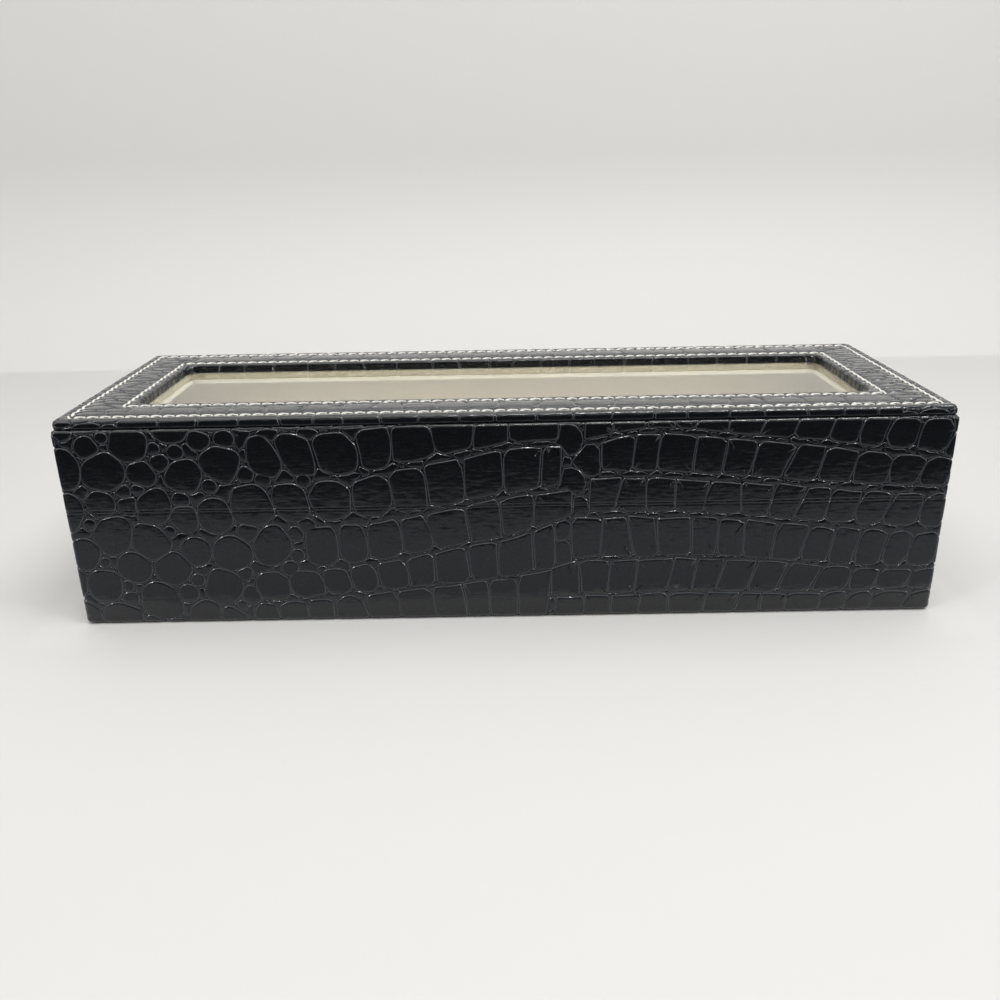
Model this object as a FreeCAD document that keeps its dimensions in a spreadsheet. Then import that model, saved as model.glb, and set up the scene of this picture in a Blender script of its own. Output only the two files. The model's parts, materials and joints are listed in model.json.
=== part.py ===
"""Watch display box: a leather-covered case with a window lid and six watch pillows.

Lengths are millimetres and angles degrees. The origin is the middle of the underside, +Z is up,
the leather hinge runs along X on the -Y side, and the clasp is on the +Y side.
"""
import FreeCAD
import Part
import Sketcher
import math
import os
from FreeCAD import Placement, Rotation, Vector

DIMENSIONS = {
    # The case, over the leather
    "box_length": 320.0,
    "box_depth": 110.0,
    "wall_height": 76.5,
    "seam_height": 45.5,
    "rim_gap": 0.5,
    "corner_round": 2.0,
    "edge_round": 1.5,
    "rim_round": 0.6,
    # Sheet stock, by thickness
    "leather": 0.8,
    "wall_board": 6.0,
    "bottom_board": 4.0,
    "top_board": 5.0,
    "lining": 1.5,
    "floor_pad": 1.2,
    "felt_proud": 0.4,
    "turn_under": 12.0,
    # The lip that centres the lid, and the cloth strip inside the hinge
    "lip_height": 3.0,
    "lip_relief": 0.3,
    "lip_round": 0.4,
    "lid_lining_play": 0.5,
    "strip": 0.6,
    "strip_height": 6.0,
    "strip_inset": 2.0,
    # Slots and pillows
    "slot_count": 6,
    "divider": 3.0,
    "divider_drop": 6.85,
    "divider_round": 1.2,
    "pillow_depth": 76.0,
    "pillow_height": 41.5,
    "pillow_side_play": 0.7,
    "pillow_seat": 0.3,
    "pillow_corner": 9.0,
    "pillow_crown": 3.0,
    "pillow_end_round": 7.0,
    "pillow_end_crown": 2.0,
    "pillow_taper_start": 0.6,
    # Window: opening in the padded panel, glass, and the bead that holds the glass up
    "window_margin": 23.0,
    "window_round": 5.0,
    "window_roll": 1.2,
    "bead": 3.0,
    "bead_step": 0.8,
    "bead_band": 1.4,
    "bead_groove": 0.5,
    "retainer_flange": 1.2,
    "retainer_play": 0.2,
    "glass": 2.0,
    "glass_ledge": 4.0,
    "glass_play": 0.5,
    # Padded panel on top of the lid
    "panel_inset": 0.8,
    "panel_board": 1.8,
    "panel_foam": 0.9,
    "panel_roll": 1.8,
    "panel_under": 0.8,
    # Clasp: heights are from the seam, reaches from the front leather
    "clasp_plate": 0.8,
    "clasp_width": 24.0,
    "plate_round": 2.0,
    "hasp_plate_height": 13.0,
    "stud_plate_height": 13.0,
    "pin_height": 4.7,
    "pin_reach": 3.2,
    "pin_radius": 0.8,
    "pin_play": 0.05,
    "knuckle_radius": 1.7,
    "knuckle_row": 14.0,
    "knuckle_middle": 6.0,
    "knuckle_gap": 0.2,
    "leaf": 1.0,
    "leaf_width": 14.0,
    "leaf_length": 20.0,
    "leaf_shoulder": 2.2,
    "leaf_round": 3.0,
    "lip_roll": 1.0,
    "eye_drop": 13.7,
    "eye_play": 0.7,
    "stud_head": 2.4,
    "stud_neck": 1.6,
    "stud_tail": 1.2,
    "stud_height": 1.5,
    "nail_spread": 9.5,
    "nail_height": 8.0,
    "nail_head": 1.4,
    "nail_dome": 0.6,
    "nail_shank": 0.65,
    "nail_length": 5.0,
}

# Heights above the underside, and distances from the middle, as expressions on the sheet
BOARD_FOOT = "(dims.felt_proud + dims.leather)"
FLOOR = f"({BOARD_FOOT} + dims.bottom_board)"
FLOOR_TOP = f"({FLOOR} + dims.floor_pad)"
RIM = "(dims.seam_height - dims.rim_gap / 2)"
LID_RIM = "(dims.seam_height + dims.rim_gap / 2)"
LIP_TOP = f"({RIM} + dims.lip_height)"
GLASS_FOOT = "(dims.wall_height - dims.glass)"
TOP_BOARD_FOOT = "(dims.wall_height - dims.top_board)"
RETAINER_FOOT = f"({TOP_BOARD_FOOT} - dims.retainer_flange)"
PANEL_TOP = "(dims.wall_height + dims.panel_board + dims.panel_foam + dims.leather)"
HALF_X = "(dims.box_length / 2)"
HALF_Y = "(dims.box_depth / 2)"
BOARD_X = f"({HALF_X} - dims.leather)"
BOARD_Y = f"({HALF_Y} - dims.leather)"
INNER_X = f"({BOARD_X} - dims.wall_board)"
INNER_Y = f"({BOARD_Y} - dims.wall_board)"
LINED_X = f"({INNER_X} - dims.lining)"
LINED_Y = f"({INNER_Y} - dims.lining)"
WINDOW_X = f"({HALF_X} - dims.window_margin)"
WINDOW_Y = f"({HALF_Y} - dims.window_margin)"
PANEL_X = f"({HALF_X} - dims.panel_inset)"
PANEL_Y = f"({HALF_Y} - dims.panel_inset)"
CORNER_CUT = "(dims.corner_round / 2)"
REAR_TURN_Y = f"(dims.turn_under - {HALF_Y})"
SLOT = f"((2 * {LINED_X} - (dims.slot_count - 1) * dims.divider) / dims.slot_count)"
SLOT_PITCH = f"({SLOT} + dims.divider)"
DIVIDER_HEIGHT = f"({RIM} - dims.divider_drop - {FLOOR_TOP})"
LEAF_GAP = "(dims.knuckle_middle / 2 + dims.knuckle_gap)"
STUD_DROP = "(dims.pin_height - dims.eye_drop)"

TINY = 0.01

doc = FreeCAD.newDocument("watch_display_box")
sheet = doc.addObject("Spreadsheet::Sheet", "dims")
parts = []


def fill_sheet():
    """Writes each driving dimension to its own row: its name, then the value under that alias."""
    for row, (alias, value) in enumerate(DIMENSIONS.items(), start=1):
        sheet.set(f"A{row}", alias)
        sheet.set(f"B{row}", str(value))
        sheet.setAlias(f"B{row}", alias)
    doc.recompute()


def number(expression):
    """Value of an expression on the sheet."""
    return float(sheet.evalExpression(expression))


def bind_place(piece, x="0", y="0", z="0"):
    """Ties a piece's position to expressions."""
    for axis, expression in (("x", x), ("y", y), ("z", z)):
        piece.setExpression(f".Placement.Base.{axis}", expression)


def add_body(name, x="0", y="0", z="0", turn=0):
    """Starts a sub-part as a body of its own, turned about Z and placed by expressions."""
    body = doc.addObject("PartDesign::Body", name)
    body.Label = name
    body.Placement = Placement(Vector(), Rotation(Vector(0, 0, 1), turn))
    bind_place(body, x, y, z)
    parts.append(body)
    return body


def origin_feature(body, role):
    """A plane or axis of the body's own origin."""
    return next(item for item in body.Origin.OriginFeatures if item.Role == role)


def add_sketch(body, plane, offset="0", shift="0"):
    """Empty sketch on a plane of the body, moved along the plane's normal and its own X."""
    sketch = body.newObject("Sketcher::SketchObject", f"{body.Name}_sketch")
    sketch.AttachmentSupport = [(origin_feature(body, plane), "")]
    sketch.MapMode = "FlatFace"
    sketch.setExpression(".AttachmentOffset.Base.z", offset)
    sketch.setExpression(".AttachmentOffset.Base.x", shift)
    return sketch


def pin_point(sketch, geometry, end, x, y):
    """Holds one point of a sketch at two expressions."""
    for kind, expression in (("DistanceX", x), ("DistanceY", y)):
        value = number(expression)
        index = sketch.addConstraint(Sketcher.Constraint(kind, -1, 1, geometry, end, value))
        sketch.setExpression(f"Constraints[{index}]", expression)


def polygon(sketch, corners):
    """Closed outline through corners, each an (x, y) pair of expressions."""
    points = [Vector(number(x), number(y), 0) for x, y in corners]
    first = sketch.GeometryCount
    count = len(points)
    for index in range(count):
        sketch.addGeometry(Part.LineSegment(points[index], points[(index + 1) % count]))
    for index in range(count):
        following = first + (index + 1) % count
        sketch.addConstraint(Sketcher.Constraint("Coincident", first + index, 2, following, 1))
    for index, (x, y) in enumerate(corners):
        pin_point(sketch, first + index, 1, x, y)


def rectangle(sketch, low_x, high_x, low_y, high_y):
    """Closed rectangle between four expressions."""
    polygon(sketch, [(low_x, low_y), (high_x, low_y), (high_x, high_y), (low_x, high_y)])


def centred(sketch, half_x, half_y):
    """Closed rectangle about the sketch's origin."""
    rectangle(sketch, f"-{half_x}", half_x, f"-{half_y}", half_y)


def circle(sketch, x, y, radius):
    """Circle with its middle and radius held by expressions."""
    middle = Vector(number(x), number(y), 0)
    index = sketch.addGeometry(Part.Circle(middle, Vector(0, 0, 1), number(radius)))
    pin_point(sketch, index, 3, x, y)
    held = sketch.addConstraint(Sketcher.Constraint("Radius", index, number(radius)))
    sketch.setExpression(f"Constraints[{held}]", radius)


def pad(sketch, length, back=False, both=False):
    """Pads a sketch along its normal, against it, or half each way."""
    body = sketch.getParentGeoFeatureGroup()
    feature = body.newObject("PartDesign::Pad", f"{body.Name}_pad")
    feature.Profile = sketch
    feature.setExpression("Length", length)
    feature.Reversed = back
    feature.SideType = "Symmetric" if both else "One side"
    doc.recompute()
    return feature


def pocket(sketch, length, ahead=False, both=False):
    """Cuts a sketch's outline against its normal, along it, or half each way."""
    body = sketch.getParentGeoFeatureGroup()
    before = body.Tip.Shape.Volume
    feature = body.newObject("PartDesign::Pocket", f"{body.Name}_pocket")
    feature.Profile = sketch
    feature.setExpression("Length", length)
    feature.Reversed = ahead
    feature.SideType = "Symmetric" if both else "One side"
    doc.recompute()
    if feature.Shape.Volume >= before:
        raise RuntimeError(f"{feature.Name} cut nothing")
    return feature


def fillet(body, radius, wanted):
    """Rounds the edges of the body so far whose box passes a test."""
    base = body.Tip
    edges = [f"Edge{i}" for i, edge in enumerate(base.Shape.Edges, 1) if wanted(edge.BoundBox)]
    if not edges:
        raise RuntimeError(f"{body.Name} has no edge to round")
    feature = body.newObject("PartDesign::Fillet", f"{body.Name}_fillet")
    feature.Base = (base, edges)
    feature.setExpression("Radius", radius)
    doc.recompute()
    return feature


def near(value, target):
    """Whether two lengths are the same."""
    return abs(value - target) < TINY


def upright(box):
    """Whether an edge's box is a vertical line."""
    return box.XLength < TINY and box.YLength < TINY


def level_at(box, height):
    """Whether an edge's box lies flat at a height."""
    return near(box.ZMin, height) and near(box.ZMax, height)


def max_reach(box):
    """Farthest that an edge's box goes from the middle along X."""
    return max(abs(box.XMin), abs(box.XMax))


def plate(name, half_x, half_y, low, high):
    """Flat sheet about the Z axis, between two heights."""
    body = add_body(name)
    sketch = add_sketch(body, "XY_Plane", low)
    centred(sketch, half_x, half_y)
    pad(sketch, f"{high} - {low}")
    return body


def cut_corner_plan(half_x, half_y, low_y=None):
    """Plan of the boards inside the leather, with the arris of each outer corner taken off."""
    cut = CORNER_CUT
    front = [
        (half_x, f"{half_y} - {cut}"),
        (f"{half_x} - {cut}", half_y),
        (f"{cut} - {half_x}", half_y),
        (f"-{half_x}", f"{half_y} - {cut}"),
    ]
    if low_y is not None:
        return front + [(f"-{half_x}", low_y), (half_x, low_y)]
    rear = [
        (f"-{half_x}", f"{cut} - {half_y}"),
        (f"{cut} - {half_x}", f"-{half_y}"),
        (f"{half_x} - {cut}", f"-{half_y}"),
        (half_x, f"{cut} - {half_y}"),
    ]
    return front + rear


def mirrored_plan(corners):
    """The same plan turned front to back."""
    return [(x, f"-({y})") for x, y in corners]


def mitred_board(name, half, low, high, turn, x="0", y="0"):
    """Wall board with 45 degree mitres. Its outer face is on local y = 0 and faces -y."""
    body = add_body(name, x, y, low, turn)
    sketch = add_sketch(body, "XY_Plane")
    cut = CORNER_CUT
    right = [
        (f"{half} - {cut}", "0"),
        (f"{half} - {cut} / 2", f"{cut} / 2"),
        (f"{half} - dims.wall_board", "dims.wall_board"),
    ]
    left = [(f"-({x_place})", y_place) for x_place, y_place in reversed(right)]
    polygon(sketch, right + left)
    pad(sketch, f"{high} - {low}")
    return body


def wall_boards(prefix, low, high):
    """Four mitred boards that make one rectangular frame. Returns the front one."""
    mitred_board(f"{prefix}_rear_board", BOARD_X, low, high, 0, y=f"-{BOARD_Y}")
    mitred_board(f"{prefix}_left_board", BOARD_Y, low, high, -90, x=f"-{BOARD_X}")
    mitred_board(f"{prefix}_right_board", BOARD_Y, low, high, 90, x=BOARD_X)
    return mitred_board(f"{prefix}_front_board", BOARD_X, low, high, 180, y=BOARD_Y)


def nail_holes(body, reach, height, depth, inward):
    """Two holes for the clasp's nails, from the plane at a reach, towards or away from the box."""
    sketch = add_sketch(body, "XZ_Plane", f"-{reach}")
    radius = "dims.nail_shank + dims.pin_play"
    circle(sketch, "dims.nail_spread", height, radius)
    circle(sketch, "-dims.nail_spread", height, radius)
    pocket(sketch, depth, ahead=inward)


def level_cut(body, corners, low, high):
    """Cuts a plan out of the body between two heights."""
    sketch = add_sketch(body, "XY_Plane", low)
    polygon(sketch, corners)
    pocket(sketch, f"{high} - {low}", ahead=True)


def inset_plan(turn, low_y):
    """Plan left open by leather that is turned over an edge by a width."""
    half_x = f"({HALF_X} - {turn})"
    half_y = f"({HALF_Y} - {turn})"
    return [(half_x, low_y), (half_x, half_y), (f"-{half_x}", half_y), (f"-{half_x}", low_y)]


def leather_wrap(name, low, high, board_low, board_high, low_turn, low_round, high_round):
    """Leather over the front and both ends, turned over the boards' edges."""
    body = add_body(name)
    sketch = add_sketch(body, "XY_Plane", low)
    rectangle(sketch, f"-{HALF_X}", HALF_X, REAR_TURN_Y, HALF_Y)
    pad(sketch, f"{high} - {low}")
    front = number(HALF_Y)
    seam_y = number(REAR_TURN_Y)
    fillet(body, "dims.corner_round", lambda box: upright(box) and near(box.YMax, front))
    for height, radius in ((low, low_round), (high, high_round)):
        level = number(height)
        fillet(body, radius, lambda box: level_at(box, level) and box.YMax > seam_y + TINY)
    level_cut(body, cut_corner_plan(BOARD_X, BOARD_Y, REAR_TURN_Y), board_low, board_high)
    level_cut(body, inset_plan(low_turn, REAR_TURN_Y), low, board_low)
    level_cut(body, inset_plan("(dims.leather + dims.wall_board)", REAR_TURN_Y), board_high, high)
    return body


def rear_leather(name, low, high, board_low, board_high, free_low):
    """Leather over the hinge side, turned round both corners and over the edges of the boards.

    One end of its height is on the seam, where only the outer skin goes on to the other half.
    Under the base it covers the whole strip as far as the front leather.
    """
    body = add_body(name)
    sketch = add_sketch(body, "XY_Plane", low)
    rectangle(sketch, f"-{HALF_X}", HALF_X, f"-{HALF_Y}", REAR_TURN_Y)
    pad(sketch, f"{high} - {low}")
    rear = -number(HALF_Y)
    seam_y = number(REAR_TURN_Y)
    fillet(body, "dims.corner_round", lambda box: upright(box) and near(box.YMin, rear))
    free = number(low if free_low else high)
    fillet(body, "dims.edge_round", lambda box: level_at(box, free) and box.YMin < seam_y - TINY)
    boards = mirrored_plan(cut_corner_plan(BOARD_X, BOARD_Y, f"-{REAR_TURN_Y}"))
    level_cut(body, boards, board_low, board_high)
    turned_in = inset_plan("(dims.leather + dims.wall_board)", f"-{REAR_TURN_Y}")
    level_cut(body, mirrored_plan(turned_in), board_high, high)
    if not free_low:
        level_cut(body, mirrored_plan(turned_in), low, board_low)
    beyond = f"({HALF_X} + dims.leather)"
    relief = [
        (f"-{beyond}", f"-{BOARD_Y}"),
        (beyond, f"-{BOARD_Y}"),
        (beyond, f"{REAR_TURN_Y} + dims.leather"),
        (f"-{beyond}", f"{REAR_TURN_Y} + dims.leather"),
    ]
    if free_low:
        level_cut(body, relief, RIM, high)
    else:
        level_cut(body, relief, low, LID_RIM)
    return body


def wall_lining(name, half, low, high, turn, x="0", y="0", lip=False):
    """Velvet-covered card on a wall. Its back is on local y = 0; a lip may stand above the rim."""
    body = add_body(name, x, y, low, turn)
    sketch = add_sketch(body, "XY_Plane")
    rectangle(sketch, f"-{half}", half, "0", "dims.lining")
    pad(sketch, f"{high} - {low}")
    top = number(f"{high} - {low}")
    thickness = number("dims.lining")
    fillet(body, "dims.lip_round", lambda box: level_at(box, top) and near(box.YMin, thickness))
    if lip:
        relief = add_sketch(body, "XY_Plane", f"{RIM} - {low}")
        rectangle(relief, f"-{half}", half, "0", "dims.lip_relief")
        pocket(relief, "dims.lip_height", ahead=True)
    return body


def ring(name, outer, inner, low, high):
    """Flat rectangular frame between two heights, from the half sizes of its two outlines."""
    body = add_body(name)
    sketch = add_sketch(body, "XY_Plane", low)
    polygon(sketch, outer)
    centred(sketch, *inner)
    pad(sketch, f"{high} - {low}")
    return body


def square_plan(half_x, half_y):
    """Corners of a rectangle about the origin."""
    return [
        (f"-{half_x}", f"-{half_y}"),
        (half_x, f"-{half_y}"),
        (half_x, half_y),
        (f"-{half_x}", half_y),
    ]


def grown(margin):
    """Half sizes of the window opening, grown by a margin."""
    return f"({WINDOW_X} + {margin})", f"({WINDOW_Y} + {margin})"


def build_base():
    """Felt, boards, leather, linings and dividers of the lower half."""
    felt_x = f"({HALF_X} - dims.turn_under)"
    felt_y = f"({HALF_Y} - dims.turn_under)"
    plate("bottom_felt", felt_x, felt_y, "0", BOARD_FOOT)
    bottom = add_body("base_bottom_board")
    sketch = add_sketch(bottom, "XY_Plane", BOARD_FOOT)
    polygon(sketch, cut_corner_plan(BOARD_X, BOARD_Y))
    pad(sketch, "dims.bottom_board")
    board_top = f"({RIM} - dims.leather)"
    front = wall_boards("base", FLOOR, board_top)
    wrap = leather_wrap(
        "base_wrap", "dims.felt_proud", RIM, BOARD_FOOT, board_top,
        "dims.turn_under", "dims.edge_round", "dims.rim_round",
    )
    drive_nail_holes(front, wrap, f"(dims.seam_height + {STUD_DROP})", FLOOR)
    rear_leather(
        "rear_leather_lower", "dims.felt_proud", "dims.seam_height", BOARD_FOOT, board_top, True
    )
    plate("floor_lining", LINED_X, LINED_Y, FLOOR, FLOOR_TOP)
    wall_lining("base_lining_front", INNER_X, FLOOR, LIP_TOP, 180, y=INNER_Y, lip=True)
    wall_lining("base_lining_rear", INNER_X, FLOOR, RIM, 0, y=f"-{INNER_Y}")
    wall_lining("base_lining_left", LINED_Y, FLOOR, LIP_TOP, -90, x=f"-{INNER_X}", lip=True)
    wall_lining("base_lining_right", LINED_Y, FLOOR, LIP_TOP, 90, x=INNER_X, lip=True)
    hinge_strip("hinge_strip_lower", f"{RIM} - dims.strip_height", RIM)
    build_dividers()


def drive_nail_holes(board, wrap, height, board_low):
    """Pilot holes through the front leather and into the front board at a height."""
    nail_holes(wrap, HALF_Y, height, "dims.leather", True)
    in_board = f"{height} - {board_low}"
    nail_holes(board, "0", in_board, "dims.nail_length - dims.leather", False)


def hinge_strip(name, low, high):
    """Cloth strip glued over the rear lining, beside the hinge."""
    body = add_body(name, y=f"-{LINED_Y}")
    sketch = add_sketch(body, "XY_Plane", low)
    half = f"({LINED_X} - dims.strip_inset)"
    rectangle(sketch, f"-{half}", half, "0", "dims.strip")
    pad(sketch, f"{high} - ({low})")


def build_dividers():
    """Velvet-covered cards that part the slots."""
    for index in range(1, int(number("dims.slot_count"))):
        middle = f"-{LINED_X} + {index} * {SLOT_PITCH} - dims.divider / 2"
        body = add_body(f"divider_{index}", x=middle, z=FLOOR_TOP)
        sketch = add_sketch(body, "XY_Plane")
        centred(sketch, "(dims.divider / 2)", LINED_Y)
        pad(sketch, DIVIDER_HEIGHT)
        top = number(DIVIDER_HEIGHT)
        fillet(body, "dims.divider_round", lambda box: level_at(box, top) and box.YLength > 1)


def build_lid():
    """Boards, leather, linings, window and padded panel of the upper half."""
    board_low = f"({LID_RIM} + dims.leather)"
    board_high = "(dims.wall_height - dims.leather)"
    rim_turn = "(dims.leather + dims.wall_board)"
    front = wall_boards("lid", board_low, board_high)
    wrap = leather_wrap(
        "lid_wrap", LID_RIM, "dims.wall_height", board_low, board_high,
        rim_turn, "dims.rim_round", "dims.edge_round",
    )
    nail_height = "(dims.seam_height + dims.pin_height + dims.nail_height)"
    drive_nail_holes(front, wrap, nail_height, board_low)
    rear_leather(
        "rear_leather_upper", "dims.seam_height", "dims.wall_height", board_low, board_high, False
    )
    lining_low = f"({LIP_TOP} + dims.lid_lining_play)"
    foot = RETAINER_FOOT
    wall_lining("lid_lining_front", INNER_X, lining_low, foot, 180, y=INNER_Y)
    wall_lining("lid_lining_rear", INNER_X, LID_RIM, foot, 0, y=f"-{INNER_Y}")
    wall_lining("lid_lining_left", LINED_Y, lining_low, foot, -90, x=f"-{INNER_X}")
    wall_lining("lid_lining_right", LINED_Y, lining_low, foot, 90, x=INNER_X)
    hinge_strip("hinge_strip_upper", LID_RIM, f"{LID_RIM} + dims.strip_height")
    build_window()
    build_panel()


def build_window():
    """Rabbeted top board, glass, and the stepped retainer that holds the glass up."""
    opening = grown("dims.bead")
    board = ring(
        "lid_top_board", square_plan(INNER_X, INNER_Y), opening, TOP_BOARD_FOOT, "dims.wall_height"
    )
    ledge = "(dims.bead + dims.glass_ledge)"
    level_cut(board, square_plan(*grown(ledge)), GLASS_FOOT, "dims.wall_height")
    plate("glass_pane", *grown(f"({ledge} - dims.glass_play)"), GLASS_FOOT, "dims.wall_height")
    build_retainer()


def build_retainer():
    """Velvet-covered frame: a flange under the top board and a stepped bead up to the glass."""
    flange = square_plan(f"({INNER_X} - dims.retainer_play)", f"({INNER_Y} - dims.retainer_play)")
    throat = grown("(-dims.bead_step)")
    body = ring("glass_retainer", flange, throat, RETAINER_FOOT, TOP_BOARD_FOOT)
    bead_top = f"({GLASS_FOOT} - dims.retainer_play)"
    bead = add_sketch(body, "XY_Plane", TOP_BOARD_FOOT)
    centred(bead, *grown("(dims.bead - dims.retainer_play)"))
    centred(bead, *throat)
    pad(bead, f"{bead_top} - {TOP_BOARD_FOOT}")
    band_top = f"({RETAINER_FOOT} + dims.bead_band)"
    groove_top = f"({band_top} + dims.bead_groove)"
    level_cut(body, square_plan(*grown("0")), groove_top, bead_top)
    level_cut(body, square_plan(*grown("dims.bead_groove")), band_top, groove_top)


def build_panel():
    """Padded frame on top of the lid: card, foam, and leather rolled over both edges."""
    panel = square_plan(PANEL_X, PANEL_Y)
    body = ring("top_panel_leather", panel, (WINDOW_X, WINDOW_Y), "dims.wall_height", PANEL_TOP)
    outer = number(PANEL_X)
    window = number(WINDOW_X)
    fillet(body, "dims.corner_round", lambda box: upright(box) and near(abs(box.XMin), outer))
    fillet(body, "dims.window_round", lambda box: upright(box) and near(abs(box.XMin), window))
    top = number(PANEL_TOP)
    foot = number("dims.wall_height")
    outside = outer - number("dims.corner_round") - TINY
    outside_y = number(PANEL_Y) - number("dims.corner_round") - TINY

    def on_outline(box):
        """Whether an edge's box lies on the panel's outer outline."""
        far_x = max_reach(box) > outside and box.XLength < outer
        return far_x or min(abs(box.YMin), abs(box.YMax)) > outside_y

    fillet(body, "dims.panel_roll", lambda box: level_at(box, top) and on_outline(box))
    fillet(body, "dims.panel_under", lambda box: level_at(box, foot) and on_outline(box))
    fillet(body, "dims.window_roll", lambda box: level_at(box, top) and max_reach(box) < window + TINY)
    padding_x, padding_y = f"({PANEL_X} - dims.leather)", f"({PANEL_Y} - dims.leather)"
    padding = cut_corner_plan(padding_x, padding_y)
    hole = grown("dims.leather")
    card_top = "(dims.wall_height + dims.panel_board)"
    foam_top = f"({card_top} + dims.panel_foam)"
    channel = add_sketch(body, "XY_Plane", "dims.wall_height")
    polygon(channel, padding)
    centred(channel, *hole)
    pocket(channel, f"{foam_top} - dims.wall_height", ahead=True)
    ring("top_panel_board", padding, hole, "dims.wall_height", card_top)
    ring("top_panel_foam", padding, hole, card_top, foam_top)


def clasp_body(name):
    """Body whose own origin is on the front leather, at the seam and the middle of the length."""
    return add_body(name, y=HALF_Y, z="dims.seam_height")


def clasp_plate(name, low, high, nail_level):
    """Plate with rounded corners against the front leather, with two holes for nails."""
    body = clasp_body(name)
    sketch = add_sketch(body, "XZ_Plane")
    rectangle(sketch, "-dims.clasp_width / 2", "dims.clasp_width / 2", low, high)
    pad(sketch, "dims.clasp_plate", back=True)
    fillet(body, "dims.plate_round", lambda box: box.XLength < TINY and box.ZLength < TINY)
    nail_holes(body, "dims.clasp_plate", nail_level, "dims.clasp_plate", True)
    return body


def build_hasp():
    """Hinged half of the clasp, on the lid: plate with knuckles, pin, and the leaf on the pin."""
    low = "(dims.pin_height + dims.knuckle_radius - dims.clasp_plate)"
    high = "(dims.pin_height + dims.hasp_plate_height)"
    nail_level = "(dims.pin_height + dims.nail_height)"
    body = clasp_plate("hasp_plate", low, high, nail_level)
    knuckle = add_sketch(body, "YZ_Plane")
    circle(knuckle, "dims.pin_reach", "dims.pin_height", "dims.knuckle_radius")
    pad(knuckle, "dims.knuckle_row", both=True)
    web = add_sketch(body, "YZ_Plane")
    rectangle(web, "0", "dims.pin_reach", low, "(dims.pin_height + dims.knuckle_radius)")
    pad(web, "dims.knuckle_row", both=True)
    reach = "(dims.pin_reach + dims.knuckle_radius + dims.leather)"
    gap = add_sketch(body, "YZ_Plane")
    foot = "(dims.pin_height - dims.knuckle_radius - dims.leather)"
    head = "(dims.pin_height + dims.knuckle_radius + dims.leather)"
    rectangle(gap, "dims.clasp_plate", reach, foot, head)
    pocket(gap, f"2 * {LEAF_GAP}", both=True)
    bore = add_sketch(body, "YZ_Plane")
    circle(bore, "dims.pin_reach", "dims.pin_height", "dims.pin_radius + dims.pin_play")
    pocket(bore, "dims.knuckle_row", both=True)
    pin = clasp_body("hasp_pin")
    section = add_sketch(pin, "YZ_Plane")
    circle(section, "dims.pin_reach", "dims.pin_height", "dims.pin_radius")
    pad(section, "dims.knuckle_row", both=True)
    build_leaf()
    nails("hasp_nails", nail_level)


def build_leaf():
    """Leaf that hangs from the pin, with an eye for the stud and a rolled lip to lift it by."""
    leaf = clasp_body("hasp_leaf")
    outline = add_sketch(leaf, "XZ_Plane", "-dims.pin_reach")
    neck = "dims.knuckle_middle / 2"
    side = "dims.leaf_width / 2"
    shoulder = "dims.pin_height - dims.leaf_shoulder"
    foot = "dims.pin_height - dims.leaf_length"
    right = [(side, foot), (side, shoulder), (neck, shoulder), (neck, "dims.pin_height")]
    left = [(f"-{x}", z) for x, z in reversed(right)]
    polygon(outline, right + left)
    pad(outline, "dims.leaf", both=True)
    bottom = number(foot)
    fillet(leaf, "dims.leaf_round", lambda box: box.YLength > TINY and level_at(box, bottom)
           and box.XLength < TINY)
    knuckle = add_sketch(leaf, "YZ_Plane")
    circle(knuckle, "dims.pin_reach", "dims.pin_height", "dims.knuckle_radius")
    pad(knuckle, "dims.knuckle_middle", both=True)
    roll = add_sketch(leaf, "YZ_Plane")
    roll_y = "dims.pin_reach - dims.leaf / 2 + dims.lip_roll"
    circle(roll, roll_y, f"{foot} + dims.lip_roll", "dims.lip_roll")
    pad(roll, "dims.leaf_width - 2 * dims.leaf_round", both=True)
    bore = add_sketch(leaf, "YZ_Plane")
    circle(bore, "dims.pin_reach", "dims.pin_height", "dims.pin_radius + dims.pin_play")
    pocket(bore, "dims.knuckle_row", both=True)
    eye = add_sketch(leaf, "XZ_Plane", "-dims.pin_reach")
    circle(eye, "0", STUD_DROP, "dims.stud_head + dims.eye_play")
    pocket(eye, "2 * dims.leaf", both=True)


def turned(body, sketch):
    """Turns a half profile about the vertical axis of its sketch."""
    feature = body.newObject("PartDesign::Revolution", f"{body.Name}_turn")
    feature.Profile = sketch
    feature.ReferenceAxis = (sketch, ["V_Axis"])
    feature.Angle = 360
    doc.recompute()
    return feature


def nails(name, height):
    """Two dome-headed nails through a clasp plate, one each side of the middle."""
    body = clasp_body(name)
    profile = add_sketch(body, "XY_Plane", height, "dims.nail_spread")
    crown = "dims.clasp_plate + dims.nail_dome"
    polygon(profile, [
        ("0", "-dims.nail_length"),
        ("dims.nail_shank", "-dims.nail_length"),
        ("dims.nail_shank", "dims.clasp_plate"),
        ("dims.nail_head", "dims.clasp_plate"),
        ("dims.nail_head / 2", crown),
        ("0", crown),
    ])
    turn = turned(body, profile)
    mirror = body.newObject("PartDesign::Mirrored", f"{name}_pair")
    mirror.Originals = [turn]
    mirror.MirrorPlane = (origin_feature(body, "YZ_Plane"), [""])
    body.Tip = mirror
    doc.recompute()


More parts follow.
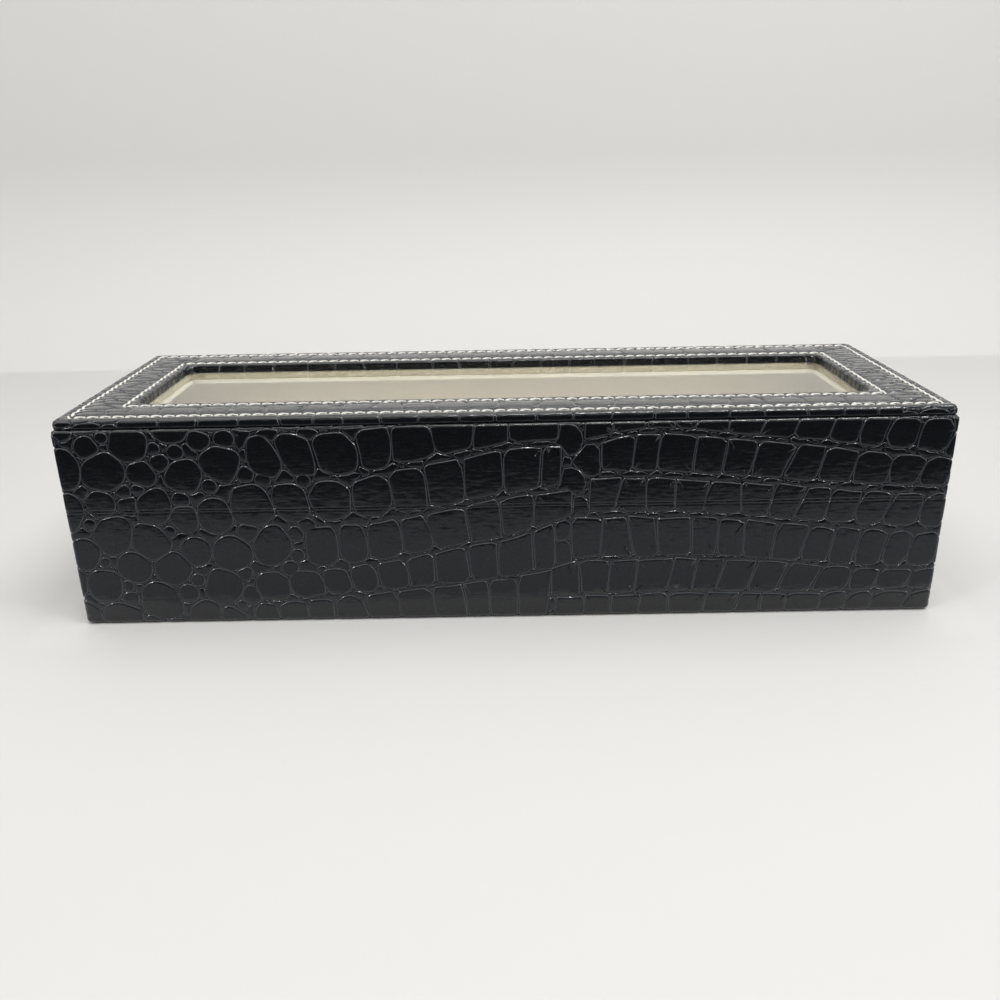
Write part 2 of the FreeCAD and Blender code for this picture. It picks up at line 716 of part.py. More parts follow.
def build_stud():
    """Fixed half of the clasp, on the base: plate, nails and the turned stud."""
    half = "dims.stud_plate_height / 2"
    body = clasp_plate("stud_plate", f"{STUD_DROP} - {half}", f"{STUD_DROP} + {half}", STUD_DROP)
    seat = add_sketch(body, "XZ_Plane")
    circle(seat, "0", STUD_DROP, "dims.stud_tail")
    pocket(seat, "dims.clasp_plate")
    stud = clasp_body("clasp_stud")
    profile = add_sketch(stud, "XY_Plane", STUD_DROP)
    crown = "(dims.clasp_plate + dims.stud_height)"
    polygon(profile, [
        ("0", "0"),
        ("dims.stud_tail", "0"),
        ("dims.stud_tail", "dims.clasp_plate"),
        ("dims.stud_neck", "dims.clasp_plate"),
        ("dims.stud_neck", f"{crown} - dims.stud_height * 2 / 3"),
        ("dims.stud_head", f"{crown} - dims.stud_height * 2 / 3"),
        ("dims.stud_head", f"{crown} - dims.stud_height / 3"),
        ("dims.stud_neck", crown),
        ("0", crown),
    ])
    turned(stud, profile)
    nails("stud_nails", STUD_DROP)


def arc_about(middle, radius, start, end):
    """Arc in the XY plane between two angles in radians."""
    points = []
    for angle in (start, (start + end) / 2, end):
        points.append(middle + Vector(math.cos(angle), math.sin(angle), 0) * radius)
    return Part.Arc(*points).toShape()


def stuffed_outline(half_x, half_y, corner, crown_x, crown_y):
    """Face with four crowned sides between round corners, in the XY plane."""
    corner_x = half_x - crown_x - corner
    corner_y = half_y - crown_y - corner
    top_rise = corner_y - half_y
    side_rise = corner_x - half_x
    top_radius = (corner ** 2 - corner_x ** 2 - top_rise ** 2) / (2 * (top_rise + corner))
    side_radius = (corner ** 2 - corner_y ** 2 - side_rise ** 2) / (2 * (side_rise + corner))
    top = Vector(0, half_y - top_radius, 0)
    side = Vector(half_x - side_radius, 0, 0)
    rise = math.atan2(corner_y - top.y, corner_x)
    lean = math.atan2(corner_y, corner_x - side.x)
    edges = []
    for turn in (0, 180):
        for middle, radius, start, end in (
            (side, side_radius, -lean, lean),
            (Vector(corner_x, corner_y, 0), corner, lean, rise),
            (top, top_radius, rise, math.pi - rise),
            (Vector(-corner_x, corner_y, 0), corner, math.pi - rise, math.pi - lean),
        ):
            arc = arc_about(middle, radius, start, end)
            arc.rotate(Vector(), Vector(0, 0, 1), turn)
            edges.append(arc)
    return Part.Face(Part.Wire(edges))


def through(face, half_length, x_axis, y_axis, z_axis):
    """Prism of a face, half each way along its normal, with its own axes laid on three others."""
    prism = face.extrude(Vector(0, 0, 2 * half_length))
    prism.translate(Vector(0, 0, -half_length))
    prism.Placement = Placement(Vector(), Rotation(x_axis, y_axis, z_axis, "ZXY")) * prism.Placement
    return prism


def stuffed_pillow():
    """Pillow about the origin: a crowned roll along X, tapered and rounded towards both ends.

    The two outlines that taper it stand outside its crown in the middle and cut in near the ends.
    """
    half_x = number(f"{SLOT} / 2 - dims.pillow_side_play")
    half_y = number("dims.pillow_depth / 2")
    half_z = number("dims.pillow_height / 2")
    crown = number("dims.pillow_crown")
    end_crown = number("dims.pillow_end_crown")
    along = number("dims.pillow_corner")
    end = number("dims.pillow_end_round")
    start = number("dims.pillow_taper_start")
    x_axis, y_axis, z_axis = Vector(1, 0, 0), Vector(0, 1, 0), Vector(0, 0, 1)
    section = stuffed_outline(half_y, half_z, along, crown, crown)
    plan = stuffed_outline(half_x, half_y + start, end, end_crown, crown)
    elevation = stuffed_outline(half_z + start, half_x + start, end, crown, end_crown)
    solid = through(section, 2 * half_x, y_axis, z_axis, x_axis)
    solid = solid.common(through(plan, 2 * half_z, x_axis, y_axis, z_axis))
    return solid.common(through(elevation, 2 * half_y, z_axis, x_axis, y_axis))


def build_pillows():
    """Stuffed velvet pillows, one lying in each slot."""
    solid = stuffed_pillow()
    for index in range(int(number("dims.slot_count"))):
        name = f"pillow_{index + 1}"
        pillow = doc.addObject("Part::Feature", name)
        pillow.Label = name
        pillow.Shape = solid
        bind_place(
            pillow,
            f"-{LINED_X} + {SLOT} / 2 + {index} * {SLOT_PITCH}",
            "0",
            f"{FLOOR_TOP} + dims.pillow_seat + dims.pillow_height / 2",
        )
        parts.append(pillow)


def check_document():
    """Stops if any object failed or any sub-part has no sound shape."""
    doc.recompute()
    for item in doc.Objects:
        if {"Invalid", "Error"} & set(item.State):
            raise RuntimeError(f"{item.Label} failed: {item.State}")
    for part in parts:
        if part.Shape.isNull() or not part.Shape.isValid() or part.Shape.Volume <= 0:
            raise RuntimeError(f"{part.Label} has no sound shape")


def export():
    """Writes each sub-part to a file of its own name."""
    os.makedirs("parts", exist_ok=True)
    for part in parts:
        part.Shape.exportStep(f"parts/{part.Label}.step")
        print(f"{part.Label}: {part.Shape.Volume:.1f} mm3")


fill_sheet()
build_base()
build_lid()
build_hasp()
build_stud()
build_pillows()
check_document()
export()
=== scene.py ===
"""Looks of the watch display box: embossed leatherette, stitching, velvet, glass and nickel.

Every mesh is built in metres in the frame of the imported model. Patterns are worked out in
millimetres on the flat sheet that each cover is cut from, and then folded round the boards.
"""
import json
import logging
import math
from dataclasses import dataclass, field
from enum import Enum
from typing import Callable, Sequence

import bmesh
import bpy
import numpy as np
from mathutils import Matrix, Vector


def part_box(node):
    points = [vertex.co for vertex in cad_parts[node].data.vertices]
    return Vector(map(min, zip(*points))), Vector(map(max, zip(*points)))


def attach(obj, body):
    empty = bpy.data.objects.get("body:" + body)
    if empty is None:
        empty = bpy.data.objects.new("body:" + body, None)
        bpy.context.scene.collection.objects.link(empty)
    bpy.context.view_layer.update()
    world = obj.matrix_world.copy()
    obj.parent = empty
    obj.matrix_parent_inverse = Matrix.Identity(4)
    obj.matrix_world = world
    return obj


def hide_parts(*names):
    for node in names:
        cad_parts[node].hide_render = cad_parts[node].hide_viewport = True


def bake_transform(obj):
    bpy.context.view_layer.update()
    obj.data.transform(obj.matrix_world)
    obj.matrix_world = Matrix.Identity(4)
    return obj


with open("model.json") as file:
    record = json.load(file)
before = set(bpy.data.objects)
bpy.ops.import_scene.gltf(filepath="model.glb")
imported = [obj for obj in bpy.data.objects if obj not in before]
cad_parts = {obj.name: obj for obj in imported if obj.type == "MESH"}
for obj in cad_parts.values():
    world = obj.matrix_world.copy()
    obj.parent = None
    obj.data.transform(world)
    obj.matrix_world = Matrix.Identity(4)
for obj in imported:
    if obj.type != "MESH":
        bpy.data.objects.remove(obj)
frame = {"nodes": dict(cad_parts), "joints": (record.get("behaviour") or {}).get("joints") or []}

LOG = logging.getLogger("watch_box")
MM = 0.001
# Point layer that weights the painted sheen in the grooves of the leatherette.
GROOVE_SHEEN_LAYER = "groove_sheen"
Array = np.ndarray
Socket = bpy.types.NodeSocket
Point = tuple[float, float]
Face = tuple[int, ...]
Mesh = tuple[Array, list[Face]]
Surface = Callable[[Array, Array], Array]
SIDES = ("front", "rear", "left", "right")


def linear(hex_colour: str) -> tuple[float, float, float, float]:
    """Turns an sRGB hex colour into linear RGBA.

    Args:
        hex_colour: Six hex digits after a hash sign.

    Returns:
        Linear red, green, blue and an alpha of 1.
    """
    channels = [int(hex_colour[i : i + 2], 16) / 255 for i in (1, 3, 5)]
    values = [c / 12.92 if c <= 0.04045 else ((c + 0.055) / 1.055) ** 2.4 for c in channels]
    return (values[0], values[1], values[2], 1.0)


def add_node(
    tree: bpy.types.NodeTree, kind: str, inputs: dict | None = None, **settings: object
) -> bpy.types.Node:
    """Adds a shader node, sets its properties, and fills or links its inputs.

    Args:
        tree: The material's node tree.
        kind: The node's type name, without the ShaderNode prefix.
        inputs: Socket name or number to a value, or to the socket that feeds it.
        settings: Properties of the node itself.

    Returns:
        The new node.
    """
    node = tree.nodes.new(f"ShaderNode{kind}")
    for name, value in settings.items():
        setattr(node, name, value)
    for key, value in (inputs or {}).items():
        if isinstance(value, Socket):
            tree.links.new(value, node.inputs[key])
        else:
            node.inputs[key].default_value = value
    return node


def new_material(name: str) -> tuple[bpy.types.Material, bpy.types.NodeTree, Socket]:
    """Makes an empty material.

    Args:
        name: The material's name.

    Returns:
        The material, its tree and the output's surface socket.
    """
    material = bpy.data.materials.new(name)
    material.use_nodes = True
    material.node_tree.nodes.clear()
    output = add_node(material.node_tree, "OutputMaterial")
    return material, material.node_tree, output.inputs["Surface"]


def per_metre(millimetres: float) -> float:
    """Texture scale at which one cell of a pattern is that many millimetres wide."""
    return 1 / (millimetres * MM)


@dataclass(frozen=True)
class EmbossedLeatherette:
    """PVC-coated cloth, hot-pressed with a crocodile pattern and lacquered.

    The lacquer gives sharp reflections that waver from scale to scale over a nearly black body.
    In the grooves the colour is painted grey, a painted sheen for the light that their walls
    catch, so each scale has a fine grey outline.
    """

    name: str = "embossed_pvc_leatherette"
    body: str = "#07090c"
    worn: str = "#0e1116"
    # Painted sheen: grey painted into the grooves for the light that their walls catch.
    groove_sheen: str = "#3a3f45"
    lacquer_ior: float = 1.5
    streak_mm: float = 1.1
    streak_depth_mm: float = 0.14
    pore_mm: float = 0.5
    pore_depth_mm: float = 0.03
    ripple_mm: float = 5.0
    ripple_depth_mm: float = 0.4

    def build(self) -> bpy.types.Material:
        """Builds the material."""
        material, tree, surface = new_material(self.name)
        place = add_node(tree, "TexCoord").outputs["Object"]
        streaks = add_node(
            tree, "Mapping", {"Vector": place, "Scale": (0.22, 1.0, 1.0)}
        ).outputs["Vector"]
        creases = add_node(
            tree, "TexNoise", {"Vector": streaks, "Scale": per_metre(self.streak_mm), "Detail": 3.0}
        ).outputs["Fac"]
        ripple = add_node(
            tree, "TexNoise", {"Vector": place, "Scale": per_metre(self.ripple_mm), "Detail": 1.0}
        ).outputs["Fac"]
        pores = add_node(
            tree, "TexNoise", {"Vector": place, "Scale": per_metre(self.pore_mm), "Detail": 2.0}
        ).outputs["Fac"]
        low = add_node(
            tree,
            "Bump",
            {"Height": ripple, "Strength": 0.5, "Distance": self.ripple_depth_mm * MM},
        ).outputs["Normal"]
        mid = add_node(
            tree,
            "Bump",
            {
                "Height": creases,
                "Strength": 0.7,
                "Distance": self.streak_depth_mm * MM,
                "Normal": low,
            },
        ).outputs["Normal"]
        fine = add_node(
            tree,
            "Bump",
            {
                "Height": pores,
                "Strength": 0.15,
                "Distance": self.pore_depth_mm * MM,
                "Normal": mid,
            },
        ).outputs["Normal"]
        colour = add_node(
            tree,
            "Mix",
            {0: creases, 6: linear(self.body), 7: linear(self.worn)},
            data_type="RGBA",
        ).outputs[2]
        # Painted sheen: the grooves are mixed towards a grey that stands in for the light their
        # walls catch.
        groove_sheen_weight = add_node(tree, "Attribute", attribute_name=GROOVE_SHEEN_LAYER).outputs["Fac"]
        colour = add_node(
            tree, "Mix", {0: groove_sheen_weight, 6: colour, 7: linear(self.groove_sheen)}, data_type="RGBA"
        ).outputs[2]
        rough = add_node(
            tree, "MapRange", {0: ripple, 1: 0.3, 2: 0.7, 3: 0.24, 4: 0.36}
        ).outputs[0]
        shader = add_node(
            tree,
            "BsdfPrincipled",
            {
                "Base Color": colour,
                "Roughness": rough,
                "IOR": self.lacquer_ior,
                "Specular IOR Level": 0.12,
                "Coat Weight": 1.0,
                "Coat Roughness": 0.045,
                "Coat IOR": self.lacquer_ior,
                "Normal": fine,
                "Coat Normal": mid,
            },
        )
        tree.links.new(shader.outputs[0], surface)
        return material


@dataclass(frozen=True)
class FibrousStock:
    """Stock with fine fibres or pores, which give it both its mottled colour and its relief.

    Attributes:
        name: The material's name.
        light: Colour of the fibres.
        shade: Colour between them.
        fibre_mm: Width of a fibre or pore.
        relief_mm: Height of the relief.
        relief_strength: How strongly the relief shows.
        detail: How much finer structure the fibres have.
        distortion: How much they curl.
        roughness: How dull the surface is.
        specular: How much it reflects face on.
        sheen: How much fine fuzz catches the light.
    """

    name: str
    light: str
    shade: str
    fibre_mm: float
    relief_mm: float
    relief_strength: float = 0.6
    detail: float = 4.0
    distortion: float = 0.8
    roughness: float = 0.85
    specular: float = 0.3
    sheen: float = 0.0

    def build(self) -> bpy.types.Material:
        """Builds the material."""
        material, tree, surface = new_material(self.name)
        place = add_node(tree, "TexCoord").outputs["Object"]
        fibre = add_node(
            tree,
            "TexNoise",
            {
                "Vector": place,
                "Scale": per_metre(self.fibre_mm),
                "Detail": self.detail,
                "Distortion": self.distortion,
            },
        ).outputs["Fac"]
        colour = add_node(
            tree,
            "Mix",
            {0: fibre, 6: linear(self.shade), 7: linear(self.light)},
            data_type="RGBA",
        ).outputs[2]
        bump = add_node(
            tree,
            "Bump",
            {"Height": fibre, "Strength": self.relief_strength, "Distance": self.relief_mm * MM},
        ).outputs["Normal"]
        shader = add_node(
            tree,
            "BsdfPrincipled",
            {
                "Base Color": colour,
                "Roughness": self.roughness,
                "Specular IOR Level": self.specular,
                "Sheen Weight": self.sheen,
                "Normal": bump,
            },
        )
        tree.links.new(shader.outputs[0], surface)
        return material


@dataclass(frozen=True)
class PressedFibre(FibrousStock):
    """Pressed or foamed fibre stock, such as fibreboard, felt or sponge. It looks mottled."""


@dataclass(frozen=True)
class SpunThread(FibrousStock):
    """Two-ply bonded polyester thread. It looks chalk white, with soft shade between the plies."""

    name: str = "spun_polyester_thread"
    light: str = "#f4f2ec"
    shade: str = "#cfccc4"
    fibre_mm: float = 0.12
    relief_mm: float = 0.05
    relief_strength: float = 0.4
    detail: float = 2.0
    distortion: float = 0.0
    roughness: float = 0.75
    specular: float = 0.5
    sheen: float = 0.2


@dataclass(frozen=True)
class ShortPileVelvet:
    """Beige flocked velvet, light and dark in soft patches, with a glow at its edges."""

    name: str = "short_pile_velvet"
    light: str = "#e8dcc8"
    shade: str = "#cdc0aa"
    glow: str = "#efe6d4"
    patch_mm: float = 16.0
    pile_mm: float = 0.35
    least_light: float = 0.25

    def build(self) -> bpy.types.Material:
        """Builds the material."""
        material, tree, surface = new_material(self.name)
        place = add_node(tree, "TexCoord").outputs["Object"]
        patch = add_node(
            tree,
            "TexNoise",
            {"Vector": place, "Scale": per_metre(self.patch_mm), "Detail": 3.0, "Distortion": 0.6},
        ).outputs["Fac"]
        pile = add_node(
            tree, "TexNoise", {"Vector": place, "Scale": per_metre(self.pile_mm), "Detail": 2.0}
        ).outputs["Fac"]
        mixed = add_node(
            tree, "Math", {0: patch, 1: pile, 2: self.least_light}, operation="MULTIPLY_ADD"
        )
        colour = add_node(
            tree,
            "Mix",
            {0: mixed.outputs[0], 6: linear(self.shade), 7: linear(self.light)},
            data_type="RGBA",
        ).outputs[2]
        bump = add_node(
            tree, "Bump", {"Height": pile, "Strength": 0.5, "Distance": 0.12 * MM}
        ).outputs["Normal"]
        shader = add_node(
            tree,
            "BsdfPrincipled",
            {
                "Base Color": colour,
                "Roughness": 0.9,
                "Specular IOR Level": 0.2,
                "Sheen Weight": 0.5,
                "Sheen Roughness": 0.35,
                "Sheen Tint": linear(self.glow),
                "Normal": bump,
            },
        )
        tree.links.new(shader.outputs[0], surface)
        return material


@dataclass(frozen=True)
class FloatGlass:
    """Clear float glass, 2 mm. It shows the lining through it and a pale reflection on top."""

    name: str = "clear_float_glass"
    tint: str = "#f4f8f6"

    def build(self) -> bpy.types.Material:
        """Builds the material."""
        material, tree, surface = new_material(self.name)
        shader = add_node(
            tree,
            "BsdfPrincipled",
            {
                "Base Color": linear(self.tint),
                "Roughness": 0.0,
                "IOR": 1.5,
                "Transmission Weight": 1.0,
            },
        )
        clear = add_node(tree, "BsdfTransparent", {"Color": linear(self.tint)})
        lamp_ray = add_node(tree, "LightPath").outputs["Is Shadow Ray"]
        mixed = add_node(
            tree, "MixShader", {0: lamp_ray, 1: shader.outputs[0], 2: clear.outputs[0]}
        )
        tree.links.new(mixed.outputs[0], surface)
        return material


@dataclass(frozen=True)
class NickelPlate:
    """Stamped steel with bright nickel plate. Fine polishing lines soften its reflections."""

    name: str = "bright_nickel_plate"
    metal: str = "#d6d2c8"
    line_mm: float = 0.25

    def build(self) -> bpy.types.Material:
        """Builds the material."""
        material, tree, surface = new_material(self.name)
        place = add_node(tree, "TexCoord").outputs["Object"]
        stretched = add_node(
            tree, "Mapping", {"Vector": place, "Scale": (1.0, 1.0, 0.08)}
        ).outputs["Vector"]
        lines = add_node(
            tree, "TexNoise", {"Vector": stretched, "Scale": per_metre(self.line_mm), "Detail": 3.0}
        ).outputs["Fac"]
        rough = add_node(tree, "MapRange", {0: lines, 1: 0.3, 2: 0.7, 3: 0.12, 4: 0.24}).outputs[0]
        bump = add_node(
            tree, "Bump", {"Height": lines, "Strength": 0.1, "Distance": 0.02 * MM}
        ).outputs["Normal"]
        shader = add_node(
            tree,
            "BsdfPrincipled",
            {
                "Base Color": linear(self.metal),
                "Metallic": 1.0,
                "Roughness": rough,
                "Normal": bump,
            },
        )
        tree.links.new(shader.outputs[0], surface)
        return material


@dataclass(frozen=True)
class FadedCard:
    """Studio card sprayed from pale to black. In the lacquer it shows as a soft dark gradient."""

    half_x_mm: float
    half_y_mm: float
    name: str = "faded_studio_card"
    pale: str = "#a2a5aa"
    dark: str = "#040405"
    pale_to_mm: float = 80.0
    dark_from_mm: float = 160.0

    def build(self) -> bpy.types.Material:
        """Builds the material. Its shade depends on the distance from the foot of the box."""
        material, tree, surface = new_material(self.name)
        place = add_node(tree, "TexCoord").outputs["Object"]
        parts = add_node(tree, "SeparateXYZ", {0: place}).outputs
        gaps = []
        for axis, half in (("X", self.half_x_mm), ("Y", self.half_y_mm)):
            size = add_node(tree, "Math", {0: parts[axis]}, operation="ABSOLUTE").outputs[0]
            gap = add_node(tree, "Math", {0: size, 1: half * MM}, operation="SUBTRACT")
            gaps.append(gap.outputs[0])
        away = add_node(tree, "Math", {0: gaps[0], 1: gaps[1]}, operation="MAXIMUM").outputs[0]
        share = add_node(
            tree,
            "MapRange",
            {0: away, 1: self.pale_to_mm * MM, 2: self.dark_from_mm * MM, 3: 0.0, 4: 1.0},
            interpolation_type="SMOOTHSTEP",
        ).outputs[0]
        colour = add_node(
            tree,
            "Mix",
            {0: share, 6: linear(self.pale), 7: linear(self.dark)},
            data_type="RGBA",
        ).outputs[2]
        shader = add_node(tree, "BsdfPrincipled", {"Base Color": colour, "Roughness": 0.9})
        tree.links.new(shader.outputs[0], surface)
        return material


@dataclass(frozen=True)
class MattPaint:
    """Plain matt paint of the floor and the wall behind."""

    name: str
    colour: str
    roughness: float = 0.6

    def build(self) -> bpy.types.Material:
        """Builds the material."""
        material, tree, surface = new_material(self.name)
        shader = add_node(
            tree,
            "BsdfPrincipled",
            {"Base Color": linear(self.colour), "Roughness": self.roughness},
        )
        tree.links.new(shader.outputs[0], surface)
        return material


class Finish(Enum):
    """The finishes of the box, each one a stock that the maker buys in."""

    LEATHERETTE = EmbossedLeatherette()
    THREAD = SpunThread()
    VELVET = ShortPileVelvet()
    GLASS = FloatGlass()
    NICKEL = NickelPlate()
    FIBREBOARD = PressedFibre("sawn_fibreboard", "#a88b66", "#8c7050", 0.6, 0.1)
    CARD = PressedFibre("black_bookbinding_card", "#1b1b1c", "#111112", 0.8, 0.05)
    FELT = PressedFibre("pressed_black_felt", "#1d1d1e", "#0e0e0f", 0.5, 0.15)
    SPONGE = PressedFibre("open_cell_sponge", "#c9c6bb", "#a8a497", 0.7, 0.2)


MADE: dict[str, bpy.types.Material] = {}


def finish_of(finish: Finish) -> bpy.types.Material:
    """Gives a finish's material, built once."""
    if finish.name not in MADE:
        MADE[finish.name] = finish.value.build()
    return MADE[finish.name]


@dataclass
class FoldedPath:
    """A line through square corners, each rounded, with its outer side on the right of travel.

    Attributes:
        corners: Corner points in millimetres, ends included.
        radii: Radius at each inner corner.
    """

    corners: Sequence[Point]
    radii: Sequence[float]
    starts: list[float] = field(default_factory=list)
    length: float = 0.0

    def __post_init__(self) -> None:
        points = np.array(self.corners, float)
        steps = np.diff(points, axis=0)
        spans = np.linalg.norm(steps, axis=1)
        self.ways = steps / spans[:, None]
        self.outs = np.stack([self.ways[:, 1], -self.ways[:, 0]], axis=1)
        self.radius = [0.0, *self.radii, 0.0]
        self.legs = []
        self.arcs = []
        run = 0.0
        for i, span in enumerate(spans):
            before, after = self.radius[i], self.radius[i + 1]
            start = points[i] + self.ways[i] * before
            size = span - before - after
            self.legs.append((run, size, start))
            run += size
            if i < len(spans) - 1:
                middle = points[i + 1] - after * (self.outs[i] + self.outs[i + 1])
                arc = after * math.pi / 2
                self.arcs.append((run, arc, middle))
                run += arc
        self.length = run

    def folds(self, steps: int, hold: float = 0.3) -> list[float]:
        """Places along the path where it bends, with each arc cut in steps.

        Args:
            steps: Steps in each arc.
            hold: How far beside each arc one more line keeps the flat parts flat.

        Returns:
            The places in order.
        """
        places = []
        for start, arc, _ in self.arcs:
            places.append(start - hold)
            places.extend(start + arc * k / steps for k in range(steps + 1))
            places.append(start + arc + hold)
        return [p for p in places if 0 < p < self.length]

    def at(self, along: Array, out: Array) -> Array:
        """Points at places along the path, moved out from it.

        Args:
            along: Distances along the path.
            out: Distances to the outer side; negative is inside.

        Returns:
            Points as rows of x and y.
        """
        along, out = np.broadcast_arrays(np.asarray(along, float), np.asarray(out, float))
        result = np.zeros(along.shape + (2,))
        for i, (start, size, origin) in enumerate(self.legs):
            low = -1e9 if i == 0 else start
            high = 1e9 if i == len(self.legs) - 1 else start + size
            here = (along >= low) & (along <= high)
            o = out[here]
            travel = along[here] - start
            if i > 0:
                travel = np.maximum(travel, -(self.radius[i] + o))
            if i < len(self.legs) - 1:
                travel = np.minimum(travel, size + (self.radius[i + 1] + o).clip(max=0))
            result[here] = origin + travel[:, None] * self.ways[i] + o[:, None] * self.outs[i]
        for i, (start, arc, middle) in enumerate(self.arcs):
            here = (along > start) & (along < start + arc)
            reach = self.radius[i + 1] + out[here]
            angle = (along[here] - start) / arc * math.pi / 2
            turned = (
                np.cos(angle)[:, None] * self.outs[i] + np.sin(angle)[:, None] * self.outs[i + 1]
            )
            mitre = np.broadcast_to(self.outs[i] + self.outs[i + 1], turned.shape)
            result[here] = middle + reach[:, None] * np.where(reach[:, None] < 0, mitre, turned)
        return result


@dataclass
class Scale:
    """One raised scale of the embossing, as a closed outline on the flat sheet."""

    outline: Array
    level: float = 0.0
    tilt: Point = (0.0, 0.0)

    @property
    def centre(self) -> Array:
        """Middle of the outline."""
        return self.outline.mean(axis=0)


@dataclass
class ScaleRow:
    """A row of belly scales between two wavy edges.

    Attributes:
        lower: Points of the lower edge.
        upper: Points of the upper edge.
        span: Where the row starts and ends.
        width: Usual width of a scale.
        roundness: Points of place and roundness, from 0, square, to 1, round.
        gap: Width of the valley between this row and the next.
        lean: Points of place and how far the sides of the scales lean to the right.
    """

    lower: Sequence[Point]
    upper: Sequence[Point]
    span: Point
    width: float
    roundness: Sequence[Point]
    gap: float = 1.9
    lean: Sequence[Point] = ((0.0, 0.0),)


def along_line(points: Sequence[Point], place: Array) -> Array:
    """Height of a smooth line through points, read at places along it."""
    knots = np.array(points, float)
    shifts = np.linspace(-6.0, 6.0, 7)
    return np.mean([np.interp(place + s, knots[:, 0], knots[:, 1]) for s in shifts], axis=0)


class Hide:
    """The embossed pattern of one sheet: rows of belly scales, flank scales, and fillers."""

    GROOVE = 0.42
    FIELD_STEP = 0.3
    OUTLINE_POINTS = 32
    SMALL = 2.0
    WIDTH_SPREAD = (0.82, 1.2)
    LEAN_SPREAD = 0.7
    ROUNDNESS_SPREAD = 0.08
    SQUAREST = 9
    ROUNDEST = 2.15
    FLANK_SIZES = 9
    FLANK_TRIES = 260
    FLANK_SPREAD = (0.9, 1.1)
    FLANK_REACH = (1.12, 1.45)
    LEAST_CELL = 0.5
    LONGEST_CELL = 2.2
    FILLER_POINTS = 14
    MOST_FILLERS = 2500
    FILLER_LEVEL = -0.05
    EDGE_KEEP = 0.6
    UNREACHED = 9.0
    FIELD_PAD = 2.0
    FOOT_OUT = 0.16
    FOOT_UNDER = 0.06
    # Each shoulder ring: inset, share of the depth, and weight of the painted sheen in the grooves.
    SHOULDERS = ((0.08, 0.55, 0.9), (0.26, 0.2, 0.15), (0.52, 0.05, 0.0))
    DOME = 0.035
    TILT_SPREAD = 0.004

    def __init__(self, low: Point, high: Point, seed: int) -> None:
        self.low = np.array(low, float)
        self.high = np.array(high, float)
        self.dice = np.random.default_rng(seed)
        self.scales: list[Scale] = []

    def add_row(self, row: ScaleRow) -> None:
        """Adds one row of belly scales."""
        place = row.span[0]
        lean = 0.0
        while place < row.span[1] - row.width * 0.5:
            width = row.width * self.dice.uniform(*self.WIDTH_SPREAD)
            end = place + width
            if row.span[1] - end < row.width * 0.5:
                end = row.span[1]
            leans = np.array(row.lean, float)
            next_lean = np.interp(end, leans[:, 0], leans[:, 1])
            next_lean = next_lean + self.dice.normal(0.0, self.LEAN_SPREAD)
            self.scales.append(self.row_scale(row, place, end, lean, next_lean))
            place = end
            lean = next_lean

    def row_scale(
        self, row: ScaleRow, start: float, end: float, lean: float, next_lean: float
    ) -> Scale:
        """Outline of one belly scale.

        Args:
            row: The row that it lies in.
            start: Where it starts along the row.
            end: Where it ends.
            lean: How far its first side leans.
            next_lean: How far its second side leans.

        Returns:
            The scale.
        """
        middle = (start + end) / 2
        knots = np.array(row.roundness, float)
        round_part = float(np.interp(middle, knots[:, 0], knots[:, 1]))
        round_part = round_part + self.dice.normal(0, self.ROUNDNESS_SPREAD)
        round_part = min(1.0, max(0.0, round_part))
        power = self.ROUNDEST + (1 - round_part) ** 2 * self.SQUAREST
        angle = np.linspace(0, 2 * math.pi, self.OUTLINE_POINTS, endpoint=False)
        side = np.sign(np.cos(angle)) * np.abs(np.cos(angle)) ** (2 / power)
        rise = np.sign(np.sin(angle)) * np.abs(np.sin(angle)) ** (2 / power)
        wave = self.dice.uniform(0, 2 * math.pi, 3)
        swell = 1 + 0.04 * np.sin(2 * angle + wave[0]) + 0.024 * np.sin(5 * angle + wave[1])
        swell += 0.016 * np.sin(7 * angle + wave[2])
        side, rise = side * swell, rise * swell
        half = (end - start - self.GROOVE) / 2
        leaning = lean + (next_lean - lean) * (side + 1) / 2
        x = middle + side * half + rise * leaning
        bottom = along_line(row.lower, x) + row.gap / 2
        top = along_line(row.upper, x) - row.gap / 2
        y = (bottom + top) / 2 + rise * (top - bottom) / 2
        return Scale(np.stack([x, y], axis=1))

    def add_flank(
        self,
        low: Point,
        high: Point,
        sizes: Point,
        ghosts: Sequence[Scale] = (),
        drawn_out: float = 1.0,
    ) -> None:
        """Fills a region with irregular flank scales, packed round what is already there.

        Args:
            low: Lowest corner of the region.
            high: Highest corner.
            sizes: Least and largest radius.
            ghosts: Scales of the rows beside it, which keep their own ground.
            drawn_out: How many times longer than high the scales are.
        """
        squeeze = np.array([1.0, 1 / drawn_out])
        low, high = np.array(low) / squeeze, np.array(high) / squeeze
        seeds: list[tuple[float, float, float]] = []
        fixed = []
        for scale in ghosts:
            outline = scale.outline / squeeze
            span = outline.max(axis=0) - outline.min(axis=0)
            x, y = outline.mean(axis=0)
            fixed.append((x, y, min(span) / 2 + 0.2))
        for radius in np.geomspace(sizes[1], sizes[0], self.FLANK_SIZES):
            for _ in range(self.FLANK_TRIES):
                spot = self.dice.uniform(low, high)
                size = radius * self.dice.uniform(*self.FLANK_SPREAD)
                if all(
                    math.hypot(spot[0] - x, spot[1] - y) > (size + r) * 0.98
                    for x, y, r in seeds + fixed
                ):
                    seeds.append((spot[0], spot[1], size))
        everyone = np.array(seeds + fixed)
        for index in range(len(seeds)):
            outline = self.power_cell(everyone, index)
            if outline is not None:
                self.scales.append(Scale(outline * squeeze))

